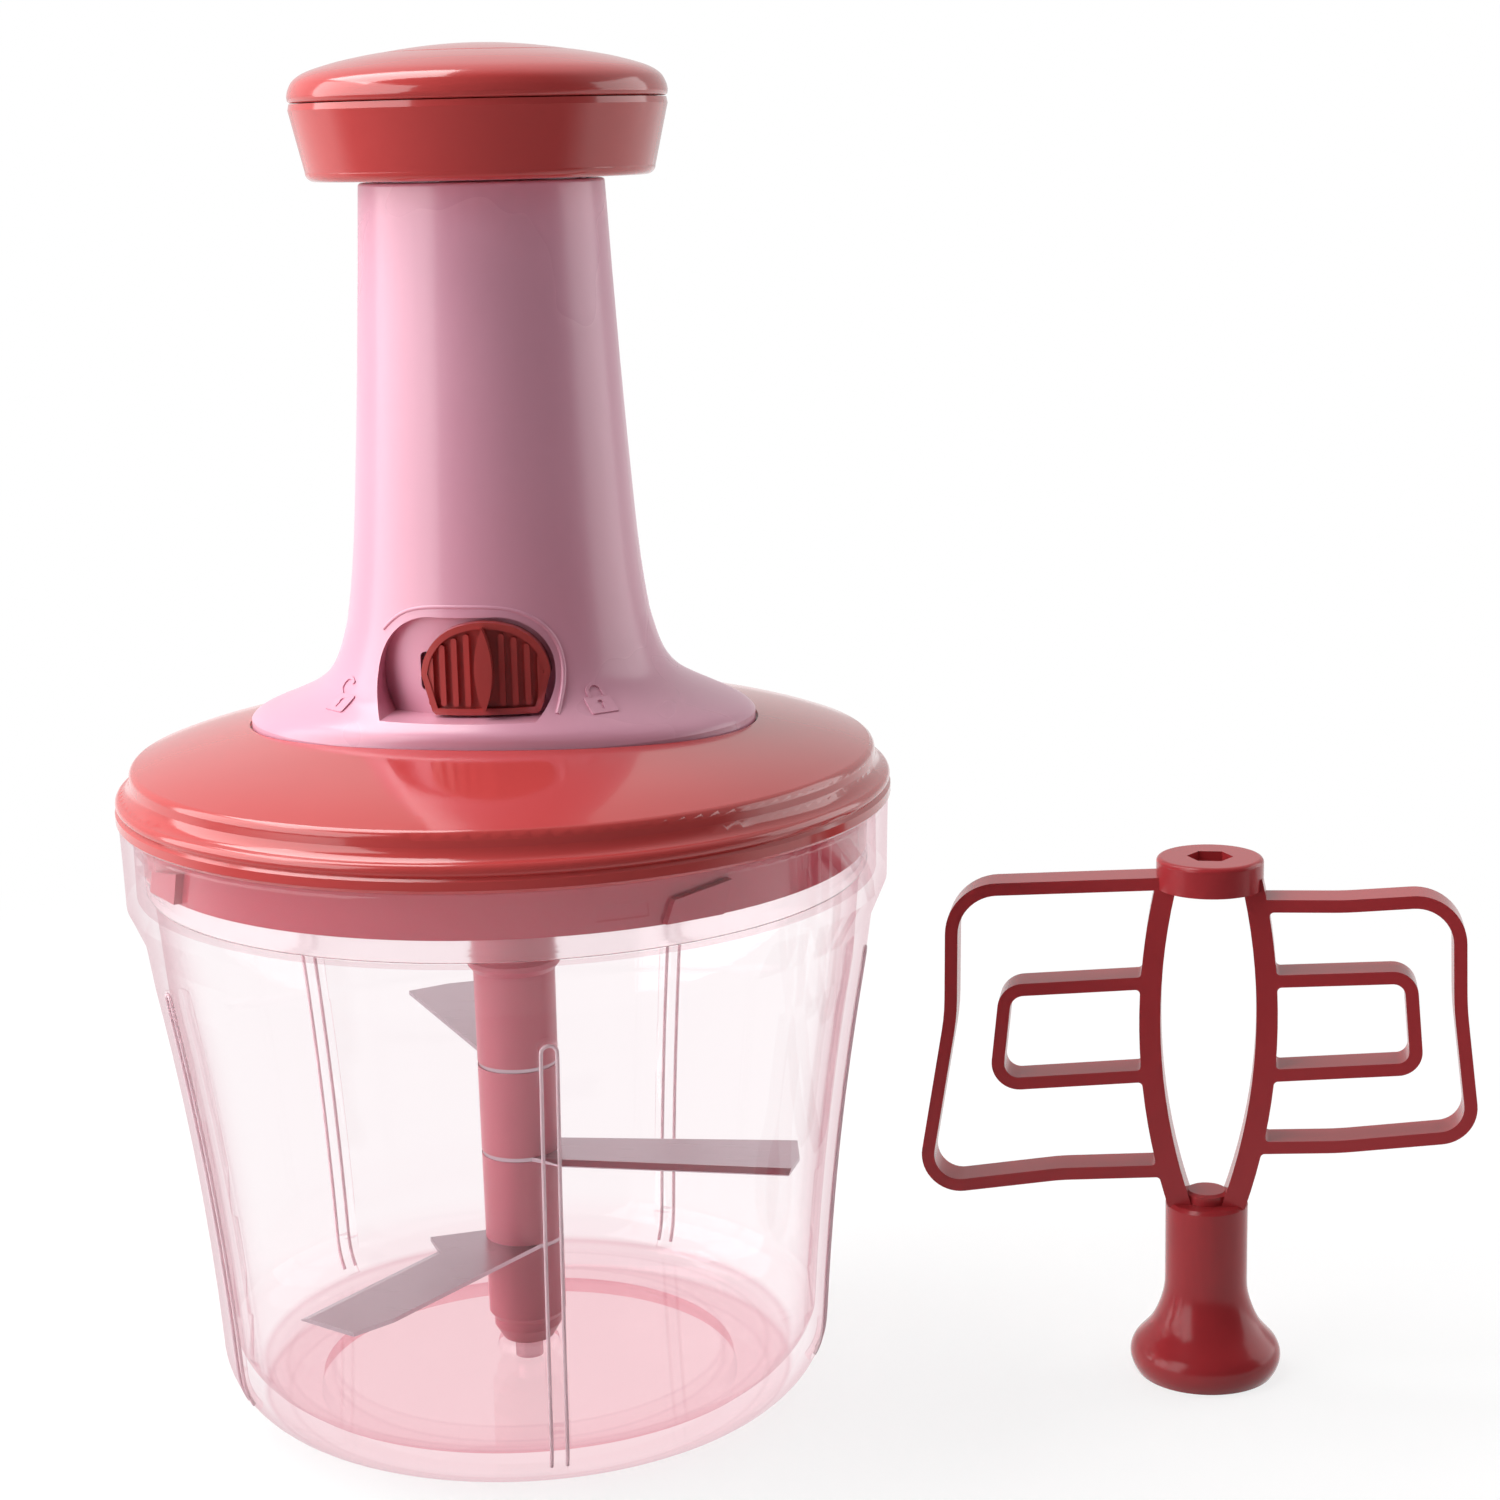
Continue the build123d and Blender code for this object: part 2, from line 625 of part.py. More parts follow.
def column_form(grow):
    """The column's outer form, grown or shrunk all round: its foot, its flare and its shaft."""
    with BuildPart() as form:
        with BuildSketch(Plane.XY.offset(deck_z)):
            Ellipse(foot_x + grow, foot_y + grow)
        extrude(amount=foot_edge_z - deck_z)
        for z, x, y in stations:
            with BuildSketch(Plane.XY.offset(z)):
                Ellipse(x + grow, y + grow)
        loft()
        with BuildSketch(Plane.XZ):
            with BuildLine():
                side = Spline(*[(radius + grow, z) for radius, z in shaft_outline])
                Polyline(side @ 1, (0, column_top), (0, waist_z), side @ 0)
            make_face()
        revolve(axis=Axis.Z)
    return form.part


def window(margin):
    """The lock's window, as an outline seen from the front, with a margin round it."""
    half = lock_half + 4.6 + margin
    low, high = lock_low - 0.5 - margin, lock_high + 0.5 + margin
    with BuildSketch(Plane.XZ.offset(lock_floor - 6)) as outline:
        with BuildLine():
            Line((2.0 - half, low), (half - 2.0, low))
            ThreePointArc((half - 2.0, low), (half - 0.4, low + 3.1), (half, lock_mid))
            ThreePointArc((half, lock_mid), (half - 3.2, lock_mid + 7.0 + margin), (4.6, high))
            Line((4.6, high), (-4.6, high))
            ThreePointArc((-4.6, high), (3.2 - half, lock_mid + 7.0 + margin), (-half, lock_mid))
            ThreePointArc((-half, lock_mid), (0.4 - half, low + 3.1), (2.0 - half, low))
        make_face()
    return outline.sketch


with BuildPart() as lock_backing:
    with BuildSketch(Plane.XY.offset(deck_z)):
        with BuildLine():
            Polyline((0, 0), direction(-130) * 2 * foot_x, direction(-50) * 2 * foot_x, close=True)
        make_face()
        Circle(lock_wall, mode=Mode.SUBTRACT)
    extrude(amount=tongue_high + 2.0 - deck_z)

with BuildPart() as column_hollow:
    add(column_form(-column_wall))
    add(lock_backing.part, mode=Mode.SUBTRACT)
    with BuildSketch(Plane.XY.offset(deck_z)):
        with GridLocations(2 * column_screw_x, 2 * column_screw_y, 2, 2):
            Circle(boss_radius)
    extrude(amount=20, mode=Mode.SUBTRACT)

with BuildPart() as lock_recess:
    extrude(window(0), amount=30, dir=(0, -1, 0))
    Cylinder(lock_floor, 3 * column_top, mode=Mode.SUBTRACT)

slot_half = 8.2
with BuildPart() as column:
    add(column_form(0))
    fillet(column.edges().group_by(Axis.Z)[-1], 0.25 * column_wall)
    add(column_hollow.part, mode=Mode.SUBTRACT)
    add(lock_recess.part, mode=Mode.SUBTRACT)
    with BuildSketch(Plane.XZ.offset(lock_wall - 3)):
        with Locations((0, lock_mid)):
            RectangleRounded(2 * slot_half, 6.8, 1)
    extrude(amount=8, mode=Mode.SUBTRACT)
    with BuildSketch(Plane.XY.offset(deck_z)):
        with GridLocations(2 * column_screw_x, 2 * column_screw_y, 2, 2):
            Circle(screw_radius + fitted)
    extrude(amount=column_screw_depth, mode=Mode.SUBTRACT)
save(column.part, "column")

with BuildPart() as guide_bush:
    with BuildSketch(Plane.XY.offset(bush_z)):
        Circle(cavity_mouth - fitted)
        Circle(tube_outer + running, mode=Mode.SUBTRACT)
        with PolarLocations(tube_outer, 2):
            Rectangle(2 * (key_height + sliding), key_width + 2 * sliding, mode=Mode.SUBTRACT)
    extrude(amount=column_top - 0.6 - bush_z)
save(guide_bush.part, "guide_bush")

spring_low = deck_z + bush_flange + spring_wire
spring_high = nut_bottom - sliding - spring_wire
with BuildPart() as return_spring:
    with BuildLine():
        spring_pitch = (spring_high - spring_low) / spring_turns
        coil = Helix(
            spring_pitch, spring_high - spring_low, rod_bush_flange - 1.8, center=(0, 0, spring_low)
        )
    with BuildSketch(Plane(origin=coil @ 0, z_dir=coil % 0)):
        Circle(spring_wire)
    sweep(is_frenet=True)
save(return_spring.part, "return_spring")

# ---------------------------------------------------------------------------- plunger
tube_inner = tube_outer - tube_wall
notch_turn = lock_turn + 27.0
knob_radius = tube_outer + knob_overhang
tube_flange_z, tube_flange = knob_bottom + 2.4, tube_outer + 6.5
knob_screw_circle = tube_outer + 3.5
with BuildPart() as plunger_tube:
    with BuildSketch(Plane.XY.offset(tube_bottom)):
        Circle(tube_outer)
        with PolarLocations(tube_outer, 2):
            Rectangle(2 * key_height, key_width)
    extrude(amount=tube_flange_z - tube_bottom)
    with BuildSketch(Plane.XY.offset(tube_bottom)):
        Circle(stop_radius)
    extrude(amount=stop_height)
    with BuildSketch(Plane.XY.offset(tube_flange_z)):
        Circle(tube_flange)
        with PolarLocations(knob_screw_circle, 3, start_angle=90):
            Circle(screw_radius + 0.1, mode=Mode.SUBTRACT)
    extrude(amount=2.4)
    with BuildSketch(Plane.XY.offset(tube_bottom)):
        Circle(tube_inner)
    extrude(amount=tube_flange_z + 2.4 - tube_bottom, mode=Mode.SUBTRACT)
    with BuildSketch(Plane.XY.offset(tube_bottom)):
        with BuildLine():
            left, right = direction(-90 - notch_turn), direction(-90 + notch_turn)
            Polyline((0, 0), left * 2 * tube_outer, right * 2 * tube_outer, close=True)
        make_face()
        Circle(tube_outer, mode=Mode.SUBTRACT)
    extrude(amount=stop_height, mode=Mode.SUBTRACT)
save(plunger_tube.part, "plunger_tube")

nut_play = 0.25
nut_bore = twisted_bar(
    rod_width + 2 * nut_play, rod_thickness + 2 * nut_play, 1.2 + nut_play, nut_bottom - 1, nut_top + 1
)
with BuildPart() as drive_nut:
    with BuildSketch(Plane.XY.offset(nut_bottom)):
        Circle(tube_outer - 0.4)
    extrude(amount=tube_bottom - nut_bottom)
    with BuildSketch(Plane.XY.offset(tube_bottom)):
        Circle(tube_inner - fitted)
    extrude(amount=nut_top - tube_bottom)
    chamfer(drive_nut.edges().group_by(Axis.Z)[-1], 1.0)
    add(nut_bore, mode=Mode.SUBTRACT)
save(drive_nut.part, "drive_nut")

# ---------------------------------------------------------------------------- knob
knob_hole = tube_outer + key_height + 0.4
ring_inner_low, ring_inner_high = knob_radius - 2.0 - knob_wall, knob_radius - 0.2 - knob_wall
with BuildPart() as knob_ring:
    with BuildSketch(Plane.XZ):
        with BuildLine():
            Line((knob_hole, knob_bottom), (knob_radius - 4.2, knob_bottom))
            ThreePointArc(
                (knob_radius - 4.2, knob_bottom),
                (knob_radius - 3.1, knob_bottom + 0.45),
                (knob_radius - 2.6, knob_bottom + 1.6),
            )
            Polyline(
                (knob_radius - 2.6, knob_bottom + 1.6),
                (knob_radius - 0.2, knob_split - 1.2),
                (knob_radius - 0.4, knob_split - knob_seam / 2),
                (ring_inner_high, knob_split - knob_seam / 2),
                (ring_inner_low, knob_bottom + 5.4),
                (ring_inner_low - 2.3, tube_flange_z),
                (knob_hole, tube_flange_z),
                (knob_hole, knob_bottom),
            )
        make_face()
    revolve(axis=Axis.Z)
    with BuildSketch(Plane.XY.offset(knob_bottom + 0.6)):
        with PolarLocations(knob_screw_circle, 3, start_angle=90):
            Circle(screw_radius + fitted)
    extrude(amount=2.4, mode=Mode.SUBTRACT)
save(knob_ring.part, "knob_ring")

knob_screw_places = [direction(90 + 120 * i) * knob_screw_circle for i in range(3)]
screws(knob_screw_places, tube_flange_z + 2.4, -4, "knob_screws")

disc_z = knob_top - disc_thickness
cap_skirt = ring_inner_low + 0.8
cap_bottom = knob_split + knob_seam / 2
with BuildPart() as knob_cap:
    with BuildSketch(Plane.XZ):
        with BuildLine():
            Line((knob_radius - 0.3, cap_bottom), (knob_radius, knob_split + 0.9))
            brow = Spline(
                (knob_radius, knob_split + 0.9),
                (knob_radius - 0.5, knob_split + 2.7),
                (knob_radius - 2.3, knob_split + 4.8),
                (knob_radius - 6.6, knob_split + 6.5),
                (knob_radius - 14, knob_split + 8.1),
                (disc_radius + fitted + 0.35, knob_top - 0.42),
                tangents=[(0, 1), (-1, 0.07)],
            )
            Polyline(
                brow @ 1,
                (disc_radius + fitted, knob_top - 0.8),
                (disc_radius + fitted, disc_z),
                (0, disc_z),
                (0, disc_z - knob_wall),
                (disc_radius + 2, disc_z - knob_wall),
                (knob_radius - 8, knob_split + 4.2),
                (knob_radius - 3.4, knob_split + 2.3),
                (cap_skirt - 1.5, knob_split + 0.6),
                (cap_skirt - 1.5, knob_split - 4.0),
                (cap_skirt, knob_split - 4.0),
                (cap_skirt + 0.4, cap_bottom),
                (knob_radius - 0.3, cap_bottom),
            )
        make_face()
    revolve(axis=Axis.Z)
save(knob_cap.part, "knob_cap")

with BuildPart() as knob_disc:
    with BuildSketch(Plane.XZ):
        with BuildLine():
            disc_edge = (disc_radius - 0.3, knob_top - 0.42)
            Polyline((0, knob_top), (0, disc_z), (disc_radius, disc_z), (disc_radius, knob_top - 0.8), disc_edge)
            TangentArc((0, knob_top), disc_edge, tangent=(1, 0))
        make_face()
    revolve(axis=Axis.Z)
save(knob_disc.part, "knob_disc")

# ---------------------------------------------------------------------------- lock
lock_centre = lock_turn - 90
lock_back = lock_floor + sliding
lock_face = lock_back + 1.8  # radius of the slider's field, between its ribs
stem_half, stem_height = 4.0, 6.0
stem_reach = lock_back + 0.9
plate_outer, plate_inner, plate_turn = lock_wall - sliding, stop_radius + 1.2, 16.0
tongue_turn = 10.0


def curved_pad(outline, inner, outer):
    """An outline on the lock's facing plane, as a pad between two radii."""
    with BuildPart() as pad:
        extrude(outline, amount=outer, dir=direction(lock_centre))
        with BuildSketch(Plane.XY.offset(lock_low - 5)):
            Circle(outer)
            Circle(inner, mode=Mode.SUBTRACT)
        extrude(amount=30, mode=Mode.INTERSECT)
    return pad.part


def sector(half_turn, inner, outer, low, high):
    """A block between two radii and two heights, either side of the lock's centre line."""
    with BuildPart() as block:
        with BuildSketch(Plane.XY.offset(low)):
            with BuildLine():
                left, right = direction(lock_centre - half_turn), direction(lock_centre + half_turn)
                Polyline((0, 0), left * 2 * outer, right * 2 * outer, close=True)
            make_face()
            Circle(outer, mode=Mode.INTERSECT)
            Circle(inner, mode=Mode.SUBTRACT)
        extrude(amount=high - low)
    return block.part


with BuildSketch(facing(lock_centre)) as slider_outline:
    with BuildLine():
        crest = (0.32 * lock_half, lock_mid + 0.947 * lock_crown)
        cheek = (0.77 * lock_half, lock_mid + 0.638 * lock_crown)
        ThreePointArc((lock_half, lock_mid), cheek, crest)
        ThreePointArc(crest, (0, lock_high), (-crest[0], crest[1]))
        ThreePointArc((-crest[0], crest[1]), (-cheek[0], cheek[1]), (-lock_half, lock_mid))
        Polyline(
            (-lock_half, lock_mid),
            (-lock_half + 1.75, lock_low + 0.6),
            (-lock_half + 2.35, lock_low),
            (lock_half - 2.35, lock_low),
            (lock_half - 1.75, lock_low + 0.6),
            (lock_half, lock_mid),
        )
    make_face()
with BuildSketch(facing(lock_centre)) as slider_rim:
    add(slider_outline.sketch)
    offset(slider_outline.sketch, amount=-1.1, mode=Mode.SUBTRACT)
with BuildSketch(facing(lock_centre)) as slider_ribs:
    for x in [side * (0.85 + rib_pitch * (i + 1)) for i in range(4) for side in (-1, 1)]:
        low, high = lock_low + 1.5, lock_mid + lock_crown * sqrt(1 - (x / lock_half) ** 2) - 1.7
        with Locations((x, (low + high) / 2)):
            SlotOverall(high - low, rib_width, rotation=90)
with BuildSketch(facing(lock_centre)) as slider_fin:
    with BuildLine():
        fin_foot, fin_top = (0, lock_low + 0.7), (0, lock_high - 0.7)
        ThreePointArc(fin_foot, (1.5, lock_mid), fin_top)
        ThreePointArc(fin_top, (-1.5, lock_mid), fin_foot)
    make_face()
with BuildSketch(facing(lock_centre)) as stem_section:
    with Locations((0, lock_mid)):
        Rectangle(2 * stem_half, stem_height)
with BuildSketch(facing(lock_centre)) as pocket_section:
    with Locations((0, lock_mid)):
        Rectangle(2 * (stem_half + fitted), stem_height + 2 * fitted)

slider_body = curved_pad(slider_outline.sketch, lock_back, lock_face)
slider_relief = [
    curved_pad(slider_rim.sketch, lock_back, lock_face + 1.2),
    curved_pad(slider_ribs.sketch, lock_back, lock_face + 1.0),
    curved_pad(slider_fin.sketch, lock_back, lock_face + 3.6),
]
pocket = curved_pad(pocket_section.sketch, lock_back - 1, stem_reach + fitted)
with BuildPart() as lock_slider:
    add(slider_body)
    add(slider_relief)
    add(pocket, mode=Mode.SUBTRACT)
save(lock_slider.part, "lock_slider")

plate = sector(plate_turn, plate_inner, plate_outer, lock_low + 0.7, tongue_high)
tongue = sector(tongue_turn, tube_outer + 0.4, plate_inner, tongue_low, tongue_high)
stem = curved_pad(stem_section.sketch, plate_inner + 0.5, stem_reach)
with BuildPart() as lock_plate:
    add(plate)
    add(tongue)
    add(stem)
save(lock_plate.part, "lock_plate")

# ---------------------------------------------------------------------------- whisk
whisk_front = Plane(origin=(whisk_x, whisk_y, 0), x_dir=(1, 0, 0), z_dir=(0, -1, 0))
loop_front = Plane(origin=(whisk_x, whisk_y, whisk_height), x_dir=(1, 0, 0), z_dir=(0, -1, 0))
whisk_axis = Axis((whisk_x, whisk_y, 0), (0, 0, 1))

# the loops' outlines, measured from the middle of the ring's top face
left_outer = [(-6, -3.2), (-48, -5.5), (-48.4, -30.4), (-54.4, -66.2), (-27, -61.9), (-6, -60.5)]
left_inner = [(-6, -21.7), (-38.1, -24.35), (-40.3, -45), (-6, -41.8)]
right_outer = [(6, -7.2), (24, -6.9), (45.5, -5.1), (46.1, -26.4), (49.2, -51.6), (24, -54.8), (6, -55.7)]
right_inner = [(6, -21.6), (37.1, -19.8), (38.8, -39.3), (6, -42)]


def loop(points, radii):
    """A loop's outline with its corners rounded, and the window inside it."""
    with BuildSketch(loop_front) as outline:
        with BuildLine():
            FilletPolyline(*points, radius=radii)
            Line(points[-1], points[0])
        make_face()
    return outline.sketch, offset(outline.sketch, amount=-loop_bar)


def bow(low, high, foot, middle, top):
    """An outline that bows out to both sides, from its half widths at the foot, middle and top."""
    right = [(foot, low), (middle, (low + high) / 2), (top, high)]
    left = [(-x, z) for x, z in right]
    with BuildSketch(whisk_front) as outline:
        with BuildLine():
            ThreePointArc(*right)
            ThreePointArc(*left)
            Line(right[0], left[0])
            Line(right[-1], left[-1])
        make_face()
    return outline.sketch


with BuildSketch(whisk_front) as whisk_bell:
    with BuildLine():
        Line((0, 0), (whisk_foot - 1.4, 0))
        bell = Spline(
            (whisk_foot - 1.4, 0),
            (whisk_foot - 0.6, 1.4),
            (whisk_foot - 0.15, 3.4),
            (whisk_foot - 0.9, 5.8),
            (whisk_foot - 2.1, 7.2),
            (whisk_foot - 3.9, 9.4),
            (whisk_socket + 1.3, 12.0),
            (whisk_socket + 0.3, 15.2),
            (whisk_socket, 18.4),
        )
        Polyline(
            bell @ 1,
            (whisk_socket, whisk_socket_top - 0.6),
            (whisk_socket - 0.6, whisk_socket_top),
            (whisk_hole, whisk_socket_top),
            (whisk_hole, whisk_socket_top + 1.6),
            (whisk_hole - 0.8, whisk_socket_top + 2.0),
            (0, whisk_socket_top + 2.0),
            (0, 0),
        )
    make_face()
with BuildSketch(loop_front) as ring_profile:
    with BuildLine():
        Polyline((0, -whisk_ring_height), (whisk_ring, -whisk_ring_height), (whisk_ring, -0.9))
        ThreePointArc((whisk_ring, -0.9), (whisk_ring - 0.26, -0.26), (whisk_ring - 0.9, 0))
        Polyline((whisk_ring - 0.9, 0), (0, 0), (0, -whisk_ring_height))
    make_face()

loops = [
    loop(left_outer, [10, 40, 7, 40]),
    loop(right_outer, [60, 9, 60, 7, 60]),
    loop(left_inner, [5, 5]),
    loop(right_inner, [4.5, 4.5]),
]
side_bars = bow(whisk_socket_top - 0.5, whisk_height - 3.4, 7.0, 12.45, 9.4)
side_window = bow(whisk_socket_top, whisk_height - whisk_ring_height - 0.4, 2.75, 8.5, 6.15)

with BuildPart() as whisk:
    with BuildSketch(Plane.XZ.offset(-whisk_y)) as frame_outline:
        for outline, opening in loops:
            add(outline)
            add(opening, mode=Mode.SUBTRACT)
        add(side_bars)
        add(side_window, mode=Mode.SUBTRACT)
        joints = frame_outline.vertices().filter_by_position(Axis.X, whisk_x - 13.2, whisk_x + 13.2)
        joints = joints.filter_by_position(Axis.Y, whisk_socket_top + 3, whisk_height - 8)
        fillet(joints, 0.8)
    extrude(amount=whisk_depth / 2, both=True)
    revolve(whisk_bell.sketch, axis=whisk_axis)
    revolve(ring_profile.sketch, axis=whisk_axis)
    with BuildSketch(Plane.XY.offset(whisk_height)):
        with Locations((whisk_x, whisk_y)):
            RegularPolygon(whisk_hole, 6)
    extrude(amount=-whisk_ring_height - 0.4, mode=Mode.SUBTRACT)
    with BuildSketch():
        with Locations((whisk_x, whisk_y)):
            Circle(pin_radius + running)
    extrude(amount=pin_top - floor_z + 0.6, mode=Mode.SUBTRACT)
    with BuildSketch():
        with Locations((whisk_x, whisk_y)):
            Circle(pin_boss + 0.6)
    extrude(amount=pin_boss_height + 0.6, mode=Mode.SUBTRACT)
save(whisk.part, "whisk")
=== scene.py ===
# %% [markdown]
# # A hand-pressed food chopper, and the whisk that goes with it
# The chopper is a clear bowl with a coral lid, a tall pink column and a round push knob. Every rigid
# piece arrives from the CAD model as a fixed frame. This file gives each one its finish, adds the small
# moulded details that belong to looks alone, and sets the camera, the floor and the lamps. Blender works
# in metres, so a length given in millimetres is always multiplied by MM.

# %% Load the frame
from math import cos, pi, radians, sin

import bmesh
import bpy
from mathutils import Matrix, Vector
from mathutils.bvhtree import BVHTree


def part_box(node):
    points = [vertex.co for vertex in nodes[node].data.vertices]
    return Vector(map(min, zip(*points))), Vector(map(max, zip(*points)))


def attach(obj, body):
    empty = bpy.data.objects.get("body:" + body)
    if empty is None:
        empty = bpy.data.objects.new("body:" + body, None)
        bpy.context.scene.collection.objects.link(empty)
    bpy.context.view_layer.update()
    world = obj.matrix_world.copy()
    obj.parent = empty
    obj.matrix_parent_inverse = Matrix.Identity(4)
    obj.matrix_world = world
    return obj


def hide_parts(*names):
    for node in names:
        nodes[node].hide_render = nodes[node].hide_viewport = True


MM = 0.001
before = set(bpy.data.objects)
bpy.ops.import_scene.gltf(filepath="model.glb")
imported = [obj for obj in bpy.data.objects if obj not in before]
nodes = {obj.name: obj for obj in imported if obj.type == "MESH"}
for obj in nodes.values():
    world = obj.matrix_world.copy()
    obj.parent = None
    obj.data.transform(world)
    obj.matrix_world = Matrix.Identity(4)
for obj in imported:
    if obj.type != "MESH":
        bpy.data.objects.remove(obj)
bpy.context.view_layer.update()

# %% Heights that later cells measure from
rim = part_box("bowl")[1].z
column_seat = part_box("column")[0].z
ring_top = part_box("knob_ring")[1].z
heights = {"bowl's rim": rim, "column's seat": column_seat, "top of the knob's ring": ring_top}
print({what: round(height / MM, 1) for what, height in heights.items()})

# %% [markdown]
# ## The camera
# The chopper is seen from a little above through a short telephoto lens, which keeps the tall column from
# leaning. The camera is placed by its position, its heading, its tilt and a slight roll. A camera in
# Blender looks along its own -Z, so its matrix has the right, up and backward directions as columns. The
# focal length is known in pixels of a square frame, and the lens in millimetres follows from the sensor.

# %% Camera
heading, tilt, roll = radians(9.612), radians(-11.981), radians(-1.346)
camera_place = Vector((0.1310, -0.5066, 0.2307))
frame_pixels, focal_pixels = 1500, 2927.2

forward = Vector((-sin(heading) * cos(tilt), cos(heading) * cos(tilt), sin(tilt)))
level_right = forward.cross(Vector((0, 0, 1))).normalized()
level_up = level_right.cross(forward)
right = cos(roll) * level_right + sin(roll) * level_up
up = right.cross(forward)

camera = bpy.data.objects.new("camera", bpy.data.cameras.new("camera"))
bpy.context.scene.collection.objects.link(camera)
aimed = Matrix((right, up, -forward)).transposed().to_4x4()
camera.matrix_world = Matrix.Translation(camera_place) @ aimed
camera.data.sensor_width = 36
camera.data.lens = focal_pixels / frame_pixels * camera.data.sensor_width
camera.data.clip_start = 0.01
bpy.context.scene.camera = camera
print("lens in mm:", round(camera.data.lens, 1))

# %% [markdown]
# ## Colour and node helpers
# Colours are written as the hex values that a paint chart gives, and shaders work in linear light, so one
# function converts. Another adds a shader node with its settings and links in one call, which keeps each
# material short enough to read. A socket is named by its label, with _ for a space, or by its number
# after _ where several sockets share a label.

# %% Colour


def linear(hex_colour):
    """Linear RGBA from an sRGB hex colour such as C24C47."""
    channels = [int(hex_colour[i : i + 2], 16) / 255 for i in (0, 2, 4)]
    return (*[c / 12.92 if c <= 0.04045 else ((c + 0.055) / 1.055) ** 2.4 for c in channels], 1)


print("a mid grey of 808080 is", round(linear("808080")[0], 3), "in linear light")

# %% Nodes and materials


def add(tree, kind, settings=None, **sockets):
    """A node of a kind, with its settings, and with each named socket set or linked."""
    node = tree.nodes.new(kind)
    for name, value in (settings or {}).items():
        setattr(node, name, value)
    for name, value in sockets.items():
        socket = node.inputs[int(name[1:])] if name[1:].isdigit() else node.inputs[name.replace("_", " ")]
        if isinstance(value, bpy.types.NodeSocket):
            tree.links.new(value, socket)
        else:
            socket.default_value = value
    return node


def new_material(name):
    """An empty material, its node tree, its object coordinates and its shader."""
    made = bpy.data.materials.new(name)
    made.use_nodes = True
    tree = made.node_tree
    tree.nodes.clear()
    place = add(tree, "ShaderNodeTexCoord").outputs["Object"]
    shader = add(tree, "ShaderNodeBsdfPrincipled")
    add(tree, "ShaderNodeOutputMaterial", Surface=shader.outputs["BSDF"])
    return made, tree, place, shader


def assign(made, *names):
    """Gives a material to CAD nodes by name."""
    for name in names:
        mesh = nodes[name].data
        mesh.materials.clear()
        mesh.materials.append(made)


print("pieces that wait for a finish:", len(nodes))

# %% [markdown]
# ## Moulded plastic
# The lid, knob, column, slider and whisk are injection-moulded ABS. A polished tool leaves a clear
# highlight, and close to it the surface isn't a perfect mirror. The skin ripples very slightly over a
# centimetre or so, where the melt shrank, and a fine orange peel under a millimetre across softens the
# glare. Two noise textures drive two bumps in a row for this. A third, broader noise drifts the colour
# and the gloss a little, as the flow of the melt does. Textures are laid in object coordinates, which are
# metres here, so a noise's scale is one over its real size in metres.

# %% A moulded finish


def moulded_plastic(name, colours, roughness, ripple_mm, peel_mm, coat):
    """Moulded plastic in two close colours, with the heights of its ripple and its orange peel."""
    flow_size, ripple_size, peel_size = 30 * MM, 14 * MM, 0.7 * MM
    made, tree, place, shader = new_material(name)
    flow = add(tree, "ShaderNodeTexNoise", Vector=place, Scale=1 / flow_size, Detail=2.0)
    ripple = add(tree, "ShaderNodeTexNoise", Vector=place, Scale=1 / ripple_size, Detail=0.0)
    peel = add(tree, "ShaderNodeTexNoise", Vector=place, Scale=1 / peel_size, Detail=1.0)
    tint = add(
        tree,
        "ShaderNodeMix",
        {"data_type": "RGBA"},
        Factor=flow.outputs["Fac"],
        _6=linear(colours[0]),
        _7=linear(colours[1]),
    )
    broad = add(tree, "ShaderNodeBump", Height=ripple.outputs["Fac"], Strength=1.0, Distance=ripple_mm * MM)
    fine = add(
        tree,
        "ShaderNodeBump",
        Height=peel.outputs["Fac"],
        Strength=1.0,
        Distance=peel_mm * MM,
        Normal=broad.outputs["Normal"],
    )
    gloss = add(
        tree,
        "ShaderNodeMapRange",
        Value=flow.outputs["Fac"],
        To_Min=0.85 * roughness,
        To_Max=1.15 * roughness,
    )
    tree.links.new(tint.outputs[2], shader.inputs["Base Color"])
    tree.links.new(gloss.outputs["Result"], shader.inputs["Roughness"])
    tree.links.new(fine.outputs["Normal"], shader.inputs["Normal"])
    shader.inputs["IOR"].default_value = 1.53
    shader.inputs["Coat Weight"].default_value = coat
    shader.inputs["Coat Roughness"].default_value = 0.06
    return made


print("IOR of ABS and its like: 1.53")

# %% The glossy ABS pieces
coral = ("BE4241", "C44847")
coral_abs = moulded_plastic("coral_abs", coral, 0.14, 0.020, 0.0006, 0.3)
pink_abs = moulded_plastic("dusty_pink_abs", ("DC9BB1", "E0A1B6"), 0.28, 0.020, 0.0006, 0.1)
brick_abs = moulded_plastic("brick_red_abs", ("AE4240", "B44744"), 0.20, 0.015, 0.0006, 0.2)
crimson_abs = moulded_plastic("crimson_abs", ("A83035", "AE353A"), 0.20, 0.020, 0.0006, 0.0)
# The whisk's deep red stays saturated in its highlights, so its skin reflects less than the lid's.
crimson_abs.node_tree.nodes["Principled BSDF"].inputs["Specular IOR Level"].default_value = 0.28

assign(coral_abs, "lid_cover", "knob_ring", "knob_cap", "knob_disc")
assign(pink_abs, "column", "plunger_tube")
assign(brick_abs, "lock_slider")
assign(crimson_abs, "whisk")
print("glossy plastics:", [m.name for m in (coral_abs, pink_abs, brick_abs, crimson_abs)])
